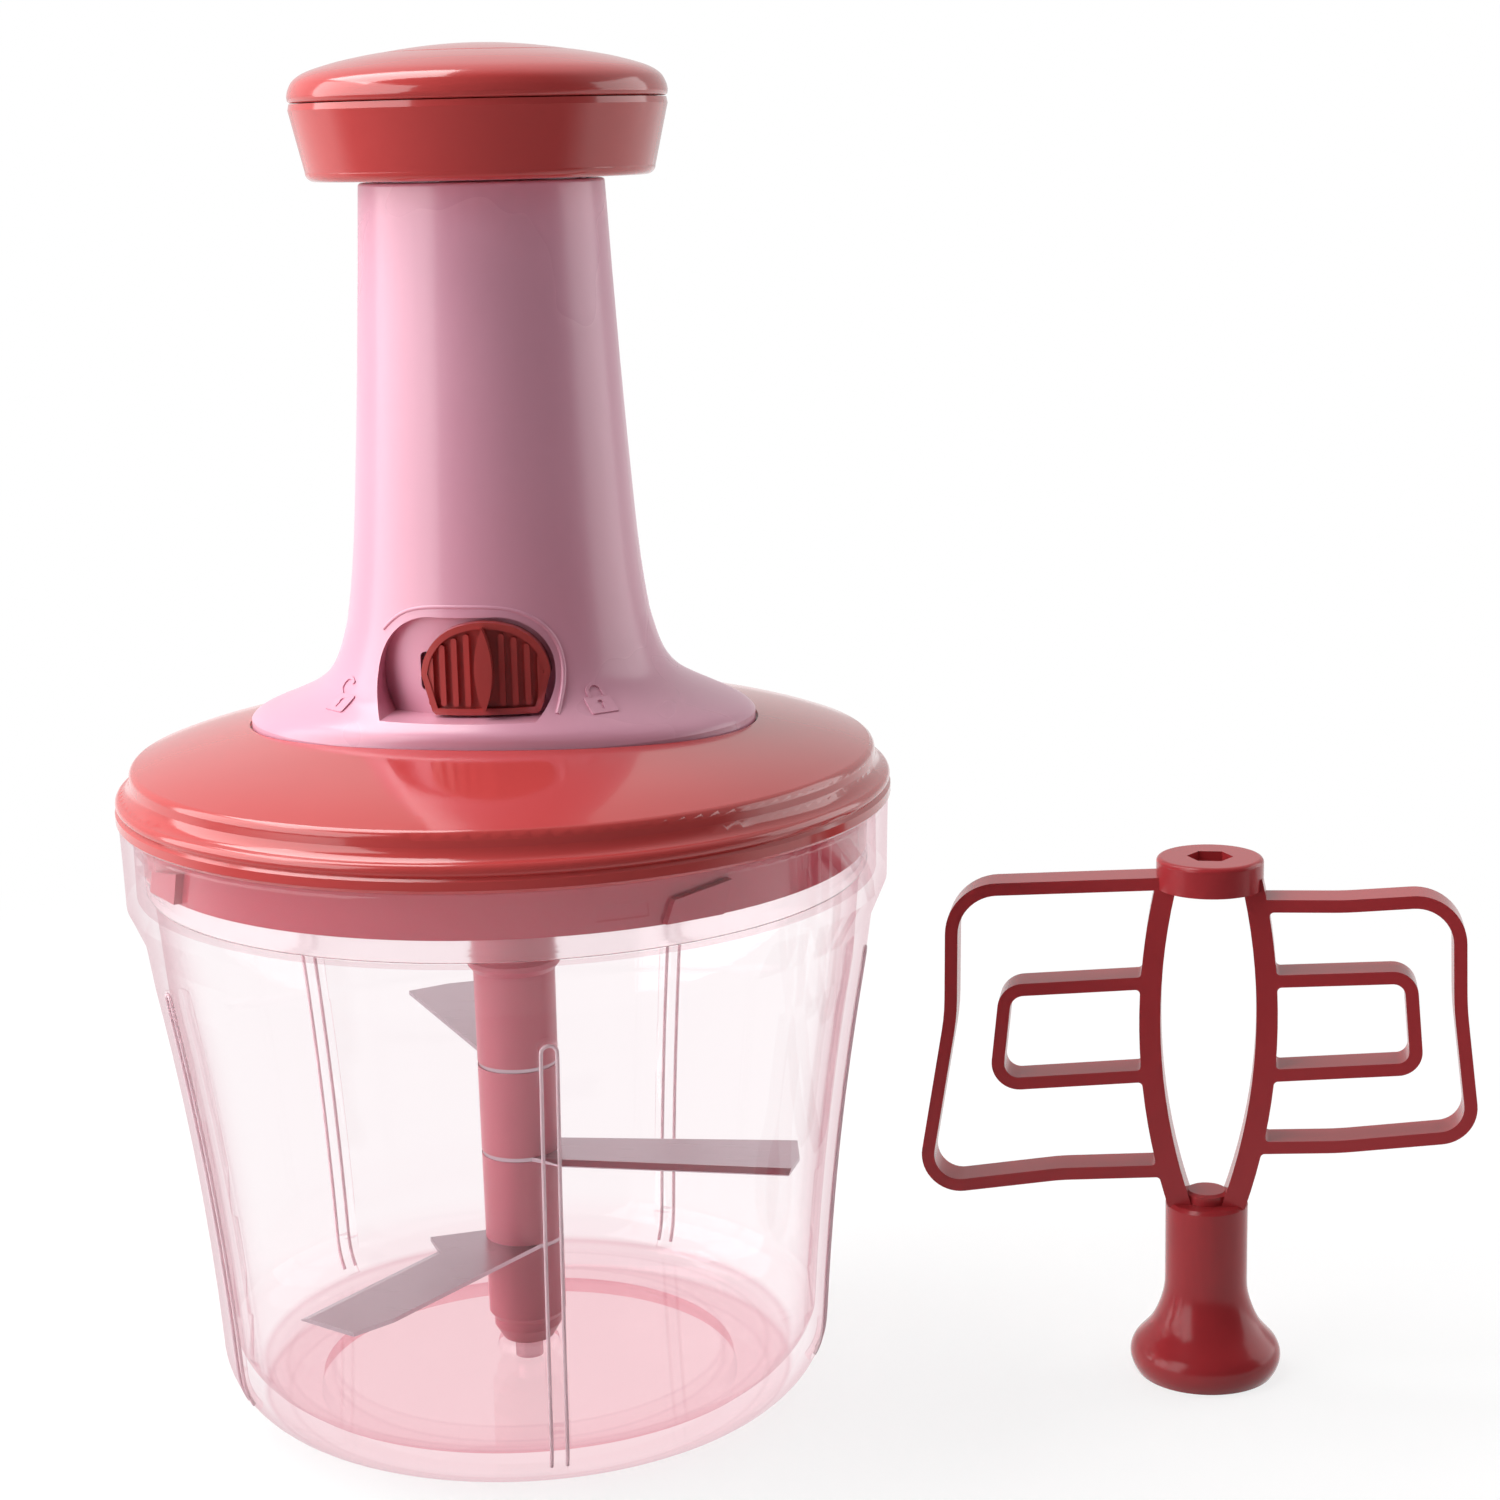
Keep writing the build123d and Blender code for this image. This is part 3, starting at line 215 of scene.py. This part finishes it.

# %% [markdown]
# ## The lid's base, in and out of the bowl
# The lid's base is one moulding in one coral: a flange on the rim, and a skirt that hangs inside the bowl.
# Less light reaches the skirt, and it is seen through tinted plastic, so its deeper, cooler red is painted
# here: painted shade, with a painted share of the bowl's tint. Two materials on one piece would need its
# faces sorted, and the CAD mesh stays as it is. So one material holds the coral and its painted shade, and
# the height of a point chooses between them, just below and above the rim.

# %% Coral with painted shade below the rim
coral_with_painted_shade = moulded_plastic("coral_abs_with_painted_shade_in_the_bowl", coral, 0.14, 0.020, 0.0006, 0.3)
tree = coral_with_painted_shade.node_tree
shader = tree.nodes["Principled BSDF"]
flange_coral = shader.inputs["Base Color"].links[0].from_socket
place = tree.nodes["Texture Coordinate"].outputs["Object"]
height = add(tree, "ShaderNodeSeparateXYZ", Vector=place).outputs["Z"]
above = add(
    tree,
    "ShaderNodeMapRange",
    {"interpolation_type": "SMOOTHSTEP"},
    Value=height,
    From_Min=rim - 1.0 * MM,
    From_Max=rim + 0.6 * MM,
)
# Painted shade: below the rim the coral gives way to a deeper, cooler red that stands in for dimmer light
# and the bowl's tint.
coral_and_painted_shade = add(
    tree,
    "ShaderNodeMix",
    {"data_type": "RGBA"},
    Factor=above.outputs["Result"],
    _6=linear("AD4C58"),
    _7=flange_coral,
)
tree.links.new(coral_and_painted_shade.outputs[2], shader.inputs["Base Color"])
assign(coral_with_painted_shade, "lid_base")
print("the red changes at", round(rim / MM, 1), "mm")

# %% [markdown]
# ## Softer plastics and the seal
# The hub's segments are glass-filled nylon, which comes out of the mould with a duller, slightly grainy
# skin. The bushes and the nut are natural acetal, an off-white plastic that feels waxy. All have the
# structure of moulded plastic, with more roughness and no coat. The seal is clear silicone rubber, so
# nearly all of its light goes through it.

# %% Hub, bushes and seal
hub_nylon = moulded_plastic("coral_nylon", ("AE5C68", "B66571"), 0.34, 0.015, 0.0012, 0.0)
acetal = moulded_plastic("natural_acetal", ("E9E6DC", "EFECE3"), 0.38, 0.010, 0.0008, 0.0)
silicone = moulded_plastic("clear_silicone", ("FBF1F3", "FFF6F8"), 0.25, 0.010, 0.0010, 0.0)
rubber = silicone.node_tree.nodes["Principled BSDF"]
rubber.inputs["Transmission Weight"].default_value = 0.92
rubber.inputs["IOR"].default_value = 1.05  # it lies between two plastics, so little light bends there

assign(hub_nylon, "hub_core", "hub_foot", "hub_spacer_lower", "hub_spacer_upper", "hub_sleeve")
assign(acetal, "spindle_bush", "rod_bush", "guide_bush", "drive_nut", "lock_plate")
assign(silicone, "lid_gasket")
print("softer plastics:", [m.name for m in (hub_nylon, acetal, silicone)])

# %% [markdown]
# ## Steel
# The blades are ground stainless strip: a grinding belt leaves fine scratches that all run one way, along
# the strip. The rod, spindle, pin, spring and screws are turned or drawn steel with a brighter finish. A
# metal's colour is its reflection, so these keep the default IOR and a metallic of 1. The scratches are
# noise that is stretched along the strip. Real scratches are a few hundredths of a millimetre apart,
# which wouldn't show, so they are drawn 0.3 mm apart.

# %% Ground and bright steel


def ground_steel(name, colour, roughness, scratch_mm, along):
    """Steel with fine scratches, so many millimetres apart, that run at an angle in degrees."""
    made, tree, place, shader = new_material(name)
    laid = add(
        tree, "ShaderNodeMapping", Vector=place, Rotation=(0, 0, radians(-along)), Scale=(0.02, 1.0, 1.0)
    )
    scratch = add(
        tree, "ShaderNodeTexNoise", Vector=laid.outputs["Vector"], Scale=1 / (scratch_mm * MM), Detail=2.0
    )
    dull = add(
        tree,
        "ShaderNodeMapRange",
        Value=scratch.outputs["Fac"],
        To_Min=0.75 * roughness,
        To_Max=1.3 * roughness,
    )
    groove = add(tree, "ShaderNodeBump", Height=scratch.outputs["Fac"], Strength=1.0, Distance=0.004 * MM)
    tree.links.new(dull.outputs["Result"], shader.inputs["Roughness"])
    tree.links.new(groove.outputs["Normal"], shader.inputs["Normal"])
    shader.inputs["Base Color"].default_value = linear(colour)
    shader.inputs["Metallic"].default_value = 1.0
    return made


blade_angles = {"blade_middle": 4.5, "blade_upper": 124.5, "blade_lower": 244.5}
for blade, blade_angle in blade_angles.items():
    assign(ground_steel("ground_" + blade, "B8A4AB", 0.30, 0.3, blade_angle), blade)
bright_steel = ground_steel("bright_steel", "C8C8C9", 0.20, 0.5, 0)
assign(bright_steel, "pivot_pin", "drive_spindle", "ratchet_driver", "twisted_rod", "return_spring")
assign(bright_steel, "base_screws", "column_screws", "knob_screws")
print("steels:", len(blade_angles) + 1)

# %% [markdown]
# ## The clear bowl
# The bowl is moulded in SAN, a clear and brittle plastic with a faint pink tint. Its real index is 1.57.
# With such an index in a thin wall, rays that skim the wall stay trapped inside it until they run out of
# bounces, and they draw black lines that no real bowl has. So here light passes straight through, with
# an index of 1, and a coat on top gives the reflections. The tint does the rest. Face on, a wall is
# almost white, and it deepens where the eye skims it and looks through more plastic. A volume would do
# that physically, but with far more noise.

# %% Clear SAN: the tint of the wall
clear_san, tree, place, shader = new_material("clear_san")
skimmed = add(tree, "ShaderNodeLayerWeight", Blend=0.5).outputs["Facing"]
edge = add(
    tree,
    "ShaderNodeMapRange",
    {"interpolation_type": "SMOOTHSTEP"},
    Value=skimmed,
    From_Min=0.52,
    From_Max=1.0,
    To_Max=0.85,
)
print("the wall's tint starts at a facing of", round(edge.inputs["From Min"].default_value, 2))

# %% [markdown]
# ### Rings in the bowl's floor
# The floor is a disc inside a foot ring, and each step in it gathers more of the tint. Seen from above it
# is a pink disc with thin darker rings. A colour ramp over the distance from the axis places them, at the
# radii of the steps in millimetres. It only acts low in the bowl, and fades out up the rounded edge.

# %% Clear SAN: the rings in the floor
across = add(tree, "ShaderNodeVectorMath", {"operation": "MULTIPLY"}, _0=place, _1=(1, 1, 0))
radius = add(tree, "ShaderNodeVectorMath", {"operation": "LENGTH"}, _0=across.outputs["Vector"])
ramp_reach = 70
share = add(
    tree, "ShaderNodeMath", {"operation": "MULTIPLY"}, _0=radius.outputs["Value"], _1=1 / (ramp_reach * MM)
)
rings = [  # radius in millimetres, and colour
    (0.0, "F8D0D6"), (36.2, "F8D0D6"),
    (37.0, "EBBAC3"), (37.8, "F5C9D0"), (44.6, "F3C6CE"),
    (45.3, "E7B4BD"), (46.0, "F1C4CC"), (48.4, "F2C9D0"),
    (49.2, "E3B0BA"), (50.2, "FDEFF2"), (53.0, "FFF6F8"), (56.0, "FDEDF0"),
]
disc = add(tree, "ShaderNodeValToRGB", Fac=share.outputs[0])
stops = disc.color_ramp.elements
stops.remove(stops[1])
stops[0].position, stops[0].color = 0, linear(rings[0][1])
for ring_radius, colour in rings[1:]:
    stops.new(ring_radius / ramp_reach).color = linear(colour)
print("stops in the floor's ramp:", len(stops))

# %% Clear SAN: all together
height = add(tree, "ShaderNodeSeparateXYZ", Vector=place).outputs["Z"]
low_down = add(
    tree,
    "ShaderNodeMapRange",
    {"interpolation_type": "SMOOTHSTEP"},
    Value=height,
    From_Min=16 * MM,
    From_Max=8 * MM,
)
body = add(
    tree,
    "ShaderNodeMix",
    {"data_type": "RGBA"},
    Factor=low_down.outputs["Result"],
    _6=linear("FFFBFC"),
    _7=disc.outputs["Color"],
)
tint = add(
    tree,
    "ShaderNodeMix",
    {"data_type": "RGBA"},
    Factor=edge.outputs["Result"],
    _6=body.outputs[2],
    _7=linear("DBA9B4"),
)
tree.links.new(tint.outputs[2], shader.inputs["Base Color"])
finish = {"Roughness": 0.0, "IOR": 1.0, "Transmission Weight": 1.0}
finish |= {"Coat Weight": 0.5, "Coat Roughness": 0.02}
for socket, value in finish.items():
    shader.inputs[socket].default_value = value
assign(clear_san, "bowl")
print("clear SAN:", finish)

# %% [markdown]
# ## Raised marks on the column
# A thin bead is moulded round the top of the lock's window, and a closed and an open padlock on either
# side of it say which way the slider turns. They lie on a surface that curves two ways. So each sign is
# drawn flat first, and then every point is sent along a ray to the column's skin and lifted by its own
# height, as a decal is pressed on. A little of it stays below the skin, so no gap shows under its edge.

# %% New pieces, and the skins that they lie on


def skin_of(name):
    """A CAD node's surface, ready for rays."""
    mesh = nodes[name].data
    return BVHTree.FromPolygons([v.co for v in mesh.vertices], [tuple(p.vertices) for p in mesh.polygons])


def added(name, mesh, made, body):
    """A new piece, with its material and the body that it rides on."""
    piece = bpy.data.objects.new(name, mesh)
    bpy.context.scene.collection.objects.link(piece)
    mesh.materials.append(made)
    mesh.polygons.foreach_set("use_smooth", [True] * len(mesh.polygons))
    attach(piece, body)
    return piece


def meshed(name, curve):
    """The mesh of a curve."""
    drawn = bpy.data.objects.new(name, curve)
    bpy.context.scene.collection.objects.link(drawn)
    bpy.context.view_layer.update()
    mesh = bpy.data.meshes.new_from_object(drawn.evaluated_get(bpy.context.evaluated_depsgraph_get()))
    bpy.data.objects.remove(drawn)
    return mesh


column_skin = skin_of("column")
print("column skin ready")

# %% Flat plates and round beads from curves


def solid_outline(name, outlines, thickness, round_edge):
    """A flat plate bounded by closed outlines, an inner one being a hole. It lies on z = 0."""
    curve = bpy.data.curves.new(name, "CURVE")
    curve.dimensions, curve.fill_mode = "2D", "BOTH"
    curve.extrude, curve.bevel_depth, curve.offset = thickness / 2, round_edge, -round_edge
    for outline in outlines:
        spline = curve.splines.new("POLY")
        spline.points.add(len(outline) - 1)
        for point, (x, y) in zip(spline.points, outline):
            point.co = (x, y, 0, 1)
        spline.use_cyclic_u = True
    return meshed(name, curve)


def rod_along(name, points, radius):
    """A thin round bead of the given radius through the given points."""
    line = bpy.data.curves.new(name, "CURVE")
    line.dimensions, line.resolution_u = "3D", 6
    spline = line.splines.new("NURBS")
    spline.points.add(len(points) - 1)
    for knot, spot in zip(spline.points, points):
        knot.co = (*spot, 1)
    spline.order_u, spline.use_endpoint_u = 4, True
    line.bevel_depth, line.bevel_resolution, line.use_fill_caps = radius, 3, True
    return meshed(name, line)


trial = solid_outline("trial", [[(0, 0), (3, 0), (3, 2), (0, 2)]], 0.30, 0.06)
print("corners of a small plate with rounded edges:", len(trial.vertices))
bpy.data.meshes.remove(trial)

# %% The padlock's outlines


def arc(centre, radius, start, end, steps=14):
    """Points on an arc, in degrees."""
    sweep = [radians(start + (end - start) * i / steps) for i in range(steps + 1)]
    return [(centre[0] + radius * cos(a), centre[1] + radius * sin(a)) for a in sweep]


def rounded_box(half_wide, half_high, corner):
    """A rectangle's outline with round corners."""
    x, y = half_wide - corner, half_high - corner
    return (
        arc((x, y), corner, 0, 90, 4)
        + arc((-x, y), corner, 90, 180, 4)
        + arc((-x, -y), corner, 180, 270, 4)
        + arc((x, -y), corner, 270, 360, 4)
    )


def padlock(shackle_turn):
    """Outlines in millimetres: the case with its keyhole, and the shackle, closed or swung open."""
    case_half_wide, case_half_high, case_corner, case_drop = 2.6, 2.0, 0.4, 0.6
    outer, inner, hoop_height, leg_end = 1.75, 1.15, 2.3, 1.2
    case = [(x, y - case_drop) for x, y in rounded_box(case_half_wide, case_half_high, case_corner)]
    keyhole = arc((0, -0.1), 0.5, -68, 248) + [(-0.19, -1.7), (0.19, -1.7)]
    hoop = arc((0, hoop_height), outer, 0, 180) + [(-outer, leg_end), (-inner, leg_end)]
    hoop += arc((0, hoop_height), inner, 180, 0) + [(inner, leg_end), (outer, leg_end)]
    pivot = Vector((-(outer + inner) / 2, leg_end + 0.1))
    swung = [pivot + Matrix.Rotation(radians(shackle_turn), 2) @ (Vector(p) - pivot) for p in hoop]
    return [case, keyhole], [[tuple(p) for p in swung]]


print("points in a shackle:", len(padlock(0)[1][0]))

# %% The two signs, pressed on


def press(mesh, skin, azimuth, height, lift):
    """Moves a flat drawing on to the column's skin, upright, round a point of it."""
    outward = Vector((cos(radians(azimuth)), sin(radians(azimuth)), 0))
    spot, normal, _, _ = skin.ray_cast(outward * 0.1 + Vector((0, 0, height)), -outward)
    across = Vector((0, 0, 1)).cross(normal).normalized()
    upward = normal.cross(across)
    for vertex in mesh.vertices:
        x, y, rise = vertex.co * MM
        start = spot + across * x + upward * y + normal * 0.01
        hit, facing, _, _ = skin.ray_cast(start, -normal)
        vertex.co = hit + facing * (rise + lift)


sign_height = column_seat + 8.7 * MM
signs = {"sign_closed": (-45, 0), "sign_open": (-134, 55)}  # direction and turn of the shackle, degrees
for sign, (azimuth, shackle_turn) in signs.items():
    for part, outlines in zip(("case", "hoop"), padlock(shackle_turn)):
        mesh = solid_outline(f"{sign}_{part}", outlines, 0.30, 0.06)
        press(mesh, column_skin, azimuth, sign_height, 0.05 * MM)
        added(f"{sign}_{part}", mesh, pink_abs, "lid")
print("signs:", list(signs), "at", round(sign_height / MM, 1), "mm")

# %% The bead round the window
bead_radius, bead_sink = 0.42 * MM, 0.12 * MM
bead_route = [  # across, and up from the column's seat
    (-14.9, 21.3), (-12.4, 23.9), (-8.8, 25.4), (-4.6, 25.7), (0.0, 25.7), (4.6, 25.7),
    (8.8, 25.2), (12.8, 23.2), (15.7, 19.9), (17.1, 15.6), (17.3, 11.6), (16.9, 7.8),
]
bead_points = []
for x, rise in bead_route:
    start = Vector((x * MM, -0.1, column_seat + rise * MM))
    hit, facing, _, _ = column_skin.ray_cast(start, Vector((0, 1, 0)))
    bead_points.append(hit - facing * bead_sink)
bead = rod_along("window_bead", bead_points, bead_radius)
added("window_bead", bead, pink_abs, "lid")
print("bead points:", len(bead_points))

# %% [markdown]
# ## The edges of the bowl's flutes
# Five narrow flutes are moulded down the bowl. Light gathers along the two lips of each one, so on the
# real bowl they read as a pair of thin lines joined by a round top. The bowl's plastic lets light pass
# straight through, which draws no such lines. So the lips are made as fine beads of their own, and their
# pale pink is a painted highlight, in a half-clear plastic: pale before the dark hub, and a little darker
# than the white behind. Each route goes up one lip, round the top and down the other. A ray finds the wall
# beside the flute, because a ray at the flute itself would land at the bottom of its groove.

# %% A painted highlight for the flute lips
painted_highlight_san, tree, place, shader = new_material("painted_highlight_san")
cloud = add(tree, "ShaderNodeTexNoise", Vector=place, Scale=1 / (8 * MM), Detail=1.0)
# Painted highlight: two pale pinks, drifting with a noise, stand in for the light that gathers along the
# lips.
painted_highlight_pinks = add(
    tree,
    "ShaderNodeMix",
    {"data_type": "RGBA"},
    Factor=cloud.outputs["Fac"],
    _6=linear("F1CFD8"),
    _7=linear("FBE6EB"),
)
tree.links.new(painted_highlight_pinks.outputs[2], shader.inputs["Base Color"])
for socket, value in {"Roughness": 0.12, "IOR": 1.2, "Transmission Weight": 0.35}.items():
    shader.inputs[socket].default_value = value
print("milky SAN transmits", round(shader.inputs["Transmission Weight"].default_value, 2))

# %% Lips of the five flutes
flute_count, flute_start, beside = 5, 1, 3  # the last two in degrees
lip_offset, lip_radius, lip_sink = 1.36, 0.34, 0.1
flute_top = rim / MM - 28.1
straight = [(-lip_offset, z) for z in (6.5, 8, 10, 13, 18, 28, 40, 52, 64, 74, 80)]
over_top = arc((0, flute_top), lip_offset, 180, 0, 9)
flute_route = straight + over_top + [(-x, z) for x, z in reversed(straight)]

bowl_skin = skin_of("bowl")
for index in range(flute_count):
    centre = radians(flute_start + 360 / flute_count * index)
    outward = Vector((cos(centre + radians(beside)), sin(centre + radians(beside)), 0))
    lips = []
    for x, z in flute_route:
        hit = bowl_skin.ray_cast(outward * 0.1 + Vector((0, 0, z * MM)), -outward)[0]
        reach = hit.xy.length - lip_sink * MM
        turn = centre + x * MM / reach
        lips.append(Vector((reach * cos(turn), reach * sin(turn), z * MM)))
    name = f"flute_lip_{index + 1}"
    added(name, rod_along(name, lips, lip_radius * MM), painted_highlight_san, "bowl")
print("flute lips:", flute_count, "points in each:", len(flute_route))

# %% [markdown]
# ## The knob's cap
# The cap is one low dome with a round insert let into it, and only a hairline shows between them. Both
# are turned shapes, so each is a profile spun round the axis. A few measured points are joined by a
# smooth curve first (Catmull-Rom, which passes through every point it is given), because a dome with
# flats on it would show at once in its highlight.

# %% Smooth profiles


def smooth_line(points, steps=6):
    """More points on a smooth curve through the given ones."""
    ends = [points[0], *points, points[-1]]
    line = []
    for around in zip(ends, ends[1:], ends[2:], ends[3:]):
        for i in range(steps):
            s = i / steps
            weights = (
                (2 * s**2 - s - s**3) / 2,
                (2 - 5 * s**2 + 3 * s**3) / 2,
                (s + 4 * s**2 - 3 * s**3) / 2,
                (s**3 - s**2) / 2,
            )
            line.append(tuple(sum(w * p[axis] for w, p in zip(weights, around)) for axis in (0, 1)))
    return [*line, points[-1]]


print("points between two given ones:", len(smooth_line([(0, 0), (1, 1)])) - 2)

# %% Turned shapes


def turned(name, profile, segments=128):
    """A closed profile in millimetres (radius, height), spun round the axis."""
    shape = bmesh.new()
    angles = [2 * pi * i / segments for i in range(segments)]
    rings = []
    for radius, height in profile:
        if radius < 1e-6:
            rings.append([shape.verts.new((0, 0, height * MM))] * segments)
            continue
        ring = [Vector((radius * cos(a), radius * sin(a), height)) * MM for a in angles]
        rings.append([shape.verts.new(corner) for corner in ring])
    for low, high in zip(rings, rings[1:] + rings[:1]):
        for i in range(segments):
            j = (i + 1) % segments
            corners = list(dict.fromkeys((low[i], low[j], high[j], high[i])))
            if len(corners) > 2:
                shape.faces.new(corners)
    bmesh.ops.recalc_face_normals(shape, faces=shape.faces)
    mesh = bpy.data.meshes.new(name)
    shape.to_mesh(mesh)
    shape.free()
    return mesh


seam = ring_top / MM + 0.175
print("the cap's seam is at", round(seam, 2), "mm")

# %% The domed cap
dome = smooth_line(
    [  # radius, and height over the seam
        (33.0, 1.1), (32.7, 2.3), (31.9, 3.7), (30.3, 4.85),
        (28.0, 5.75), (24.0, 6.85), (20.0, 7.65), (17.2, 8.12),
    ]
)
cap_profile = [(31.2, 0.0), (32.5, 0.0), (32.9, 0.35), *dome, (16.9, 8.05), (16.9, 5.8), (29.0, 2.4)]
cap_mesh = turned("cap_dome", [(r, seam + rise) for r, rise in cap_profile])
cap = added("cap_dome", cap_mesh, coral_abs, "plunger")
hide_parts("knob_cap")
print("cap points:", len(cap_mesh.vertices))

# %% The round insert
top_line = smooth_line([(16.45, 8.2), (13.0, 8.72), (9.0, 9.2), (4.5, 9.55), (0.0, 9.68)])
insert_profile = [(0.0, 6.0), (16.7, 6.0), (16.7, 8.0), *top_line]
insert_mesh = turned("cap_insert", [(r, seam + rise) for r, rise in insert_profile])
insert = added("cap_insert", insert_mesh, coral_abs, "plunger")
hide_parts("knob_disc")
print("insert points:", len(insert_mesh.vertices))

# %% [markdown]
# ## The white floor
# The chopper stands on a white sweep of paper. Paper that glows for the camera is an even white without
# more light on the object. It also glows for rays that pass through the bowl or bounce off a gloss, so
# those show white too. Near the object the glow gives way to matt paper, which takes the soft shadow.
# For light that bounces on from the floor the paper is greyer, so that it doesn't flood the object from
# below. In reflections it darkens towards the front, as in a studio whose front half is dark: without
# that, every upright front would wash out.

# %% The floor's mesh


def plain_disc(name, radius, height):
    """A flat round mesh, for a floor."""
    shape = bmesh.new()
    bmesh.ops.create_circle(shape, cap_ends=True, segments=96, radius=radius)
    bmesh.ops.translate(shape, verts=shape.verts, vec=(0, 0, height))
    mesh = bpy.data.meshes.new(name)
    shape.to_mesh(mesh)
    shape.free()
    made = bpy.data.objects.new(name, mesh)
    bpy.context.scene.collection.objects.link(made)
    return made


floor = plain_disc("floor", 3.0, -0.2 * MM)
print("floor across, in metres:", round(floor.dimensions.x, 1))

# %% White paper: how bright for which ray
white_sweep = bpy.data.materials.new("white_sweep")
white_sweep.use_nodes = True
tree = white_sweep.node_tree
tree.nodes.clear()
path = add(tree, "ShaderNodeLightPath")
spot = add(tree, "ShaderNodeTexCoord").outputs["Object"]
paper = add(
    tree,
    "ShaderNodeMix",
    {"data_type": "RGBA"},
    Factor=path.outputs["Is Diffuse Ray"],
    _6=linear("FFFFFF"),
    _7=linear("BCBCBC"),
)
matt = add(tree, "ShaderNodeBsdfDiffuse", Color=paper.outputs[2])
frontward = add(tree, "ShaderNodeSeparateXYZ", Vector=spot).outputs["Y"]
front = add(
    tree,
    "ShaderNodeMapRange",
    {"interpolation_type": "SMOOTHSTEP"},
    Value=frontward,
    From_Min=-0.25,
    From_Max=0.02,
    To_Min=0.08,
)
reflected = add(
    tree,
    "ShaderNodeMath",
    {"operation": "SUBTRACT", "use_clamp": True},
    _0=path.outputs["Is Glossy Ray"],
    _1=path.outputs["Is Transmission Ray"],
)
lit = add(
    tree,
    "ShaderNodeMix",
    {"data_type": "FLOAT"},
    Factor=reflected.outputs[0],
    _2=1.0,
    _3=front.outputs["Result"],
)
glow = add(tree, "ShaderNodeEmission", Color=linear("FFFFFF"), Strength=lit.outputs[0])
print("paper:", [node.bl_label for node in (matt, glow)])

# %% White paper: where it glows
reach = add(tree, "ShaderNodeVectorMath", {"operation": "LENGTH"}, _0=spot)
away = add(
    tree,
    "ShaderNodeMapRange",
    {"interpolation_type": "SMOOTHSTEP"},
    Value=reach.outputs["Value"],
    From_Min=0.16,
    From_Max=0.42,
    To_Min=0.80,
)
pictured = add(
    tree,
    "ShaderNodeMath",
    {"operation": "MULTIPLY"},
    _0=path.outputs["Is Camera Ray"],
    _1=away.outputs["Result"],
)
early = add(tree, "ShaderNodeMath", {"operation": "LESS_THAN"}, _0=path.outputs["Diffuse Depth"], _1=0.5)
mirrored = add(
    tree,
    "ShaderNodeMath",
    {"operation": "MAXIMUM"},
    _0=path.outputs["Is Glossy Ray"],
    _1=path.outputs["Is Transmission Ray"],
)
direct = add(tree, "ShaderNodeMath", {"operation": "MULTIPLY"}, _0=mirrored.outputs[0], _1=early.outputs[0])
seen = add(tree, "ShaderNodeMath", {"operation": "MAXIMUM"}, _0=pictured.outputs[0], _1=direct.outputs[0])
mixed = add(tree, "ShaderNodeMixShader", _0=seen.outputs[0], _1=matt.outputs[0], _2=glow.outputs[0])
add(tree, "ShaderNodeOutputMaterial", Surface=mixed.outputs[0])
floor.data.materials.append(white_sweep)
print("the glow is full from", round(away.inputs["From Max"].default_value, 2), "m out")

# %% [markdown]
# ## The room
# The world follows the floor: white for the camera and for rays that pass through the bowl, and a graded
# room for everything else. The room is dim at the front and bright at the back, which puts a soft white
# edge down both sides of the column and leaves its middle deep in colour.

# %% World
world = bpy.data.worlds.new("studio")
bpy.context.scene.world = world
world.use_nodes = True
tree = world.node_tree
tree.nodes.clear()
path = add(tree, "ShaderNodeLightPath")
toward = add(tree, "ShaderNodeTexCoord").outputs["Generated"]
backward = add(tree, "ShaderNodeSeparateXYZ", Vector=toward).outputs["Y"]
wall = add(
    tree,
    "ShaderNodeMapRange",
    {"interpolation_type": "SMOOTHSTEP"},
    Value=backward,
    From_Min=-0.35,
    From_Max=0.55,
    To_Min=0.05,
    To_Max=0.75,
)
room = add(tree, "ShaderNodeBackground", Color=linear("FFFFFF"), Strength=wall.outputs["Result"])
backdrop = add(tree, "ShaderNodeBackground", Color=linear("FFFFFF"), Strength=1.0)
early = add(tree, "ShaderNodeMath", {"operation": "LESS_THAN"}, _0=path.outputs["Diffuse Depth"], _1=0.5)
through = add(
    tree,
    "ShaderNodeMath",
    {"operation": "MULTIPLY"},
    _0=path.outputs["Is Transmission Ray"],
    _1=early.outputs[0],
)
seen = add(
    tree,
    "ShaderNodeMath",
    {"operation": "MAXIMUM"},
    _0=path.outputs["Is Camera Ray"],
    _1=through.outputs[0],
)
mixed = add(tree, "ShaderNodeMixShader", _0=seen.outputs[0], _1=room.outputs[0], _2=backdrop.outputs[0])
add(tree, "ShaderNodeOutputWorld", Surface=mixed.outputs[0])
strengths = [round(wall.inputs[end].default_value, 2) for end in ("To Min", "To Max")]
print("strength of the room's light, front and back:", strengths)

# %% [markdown]
# ## Lamps
# A large soft key on the left lights the column's left half and leaves a broad highlight down it. A weak
# side lamp behind on the right separates the right edge, and a top lamp opens the lid and the cap. The
# view transform is Standard, so colours come out about as they were written.

# %% Three soft lamps


def soft_lamp(name, place, target, width, height, watts):
    """A large rectangular lamp that faces a point."""
    lamp = bpy.data.objects.new(name, bpy.data.lights.new(name, "AREA"))
    bpy.context.scene.collection.objects.link(lamp)
    lamp.data.shape = "RECTANGLE"
    lamp.data.size, lamp.data.size_y, lamp.data.energy = width, height, watts
    lamp.location = place
    lamp.rotation_euler = (Vector(target) - Vector(place)).to_track_quat("-Z", "Y").to_euler()
    return lamp


middle = (0.02, 0, 0.12)
lamps = [
    soft_lamp("key", (-0.92, -0.42, 0.48), middle, 1.50, 1.00, 15),
    soft_lamp("side", (1.00, 0.45, 0.35), middle, 0.90, 0.90, 4),
    soft_lamp("top", (-0.45, 0.00, 1.0), middle, 0.70, 0.70, 9),
]
bpy.context.scene.view_settings.view_transform = "Standard"
print("watts:", {lamp.name: lamp.data.energy for lamp in lamps})
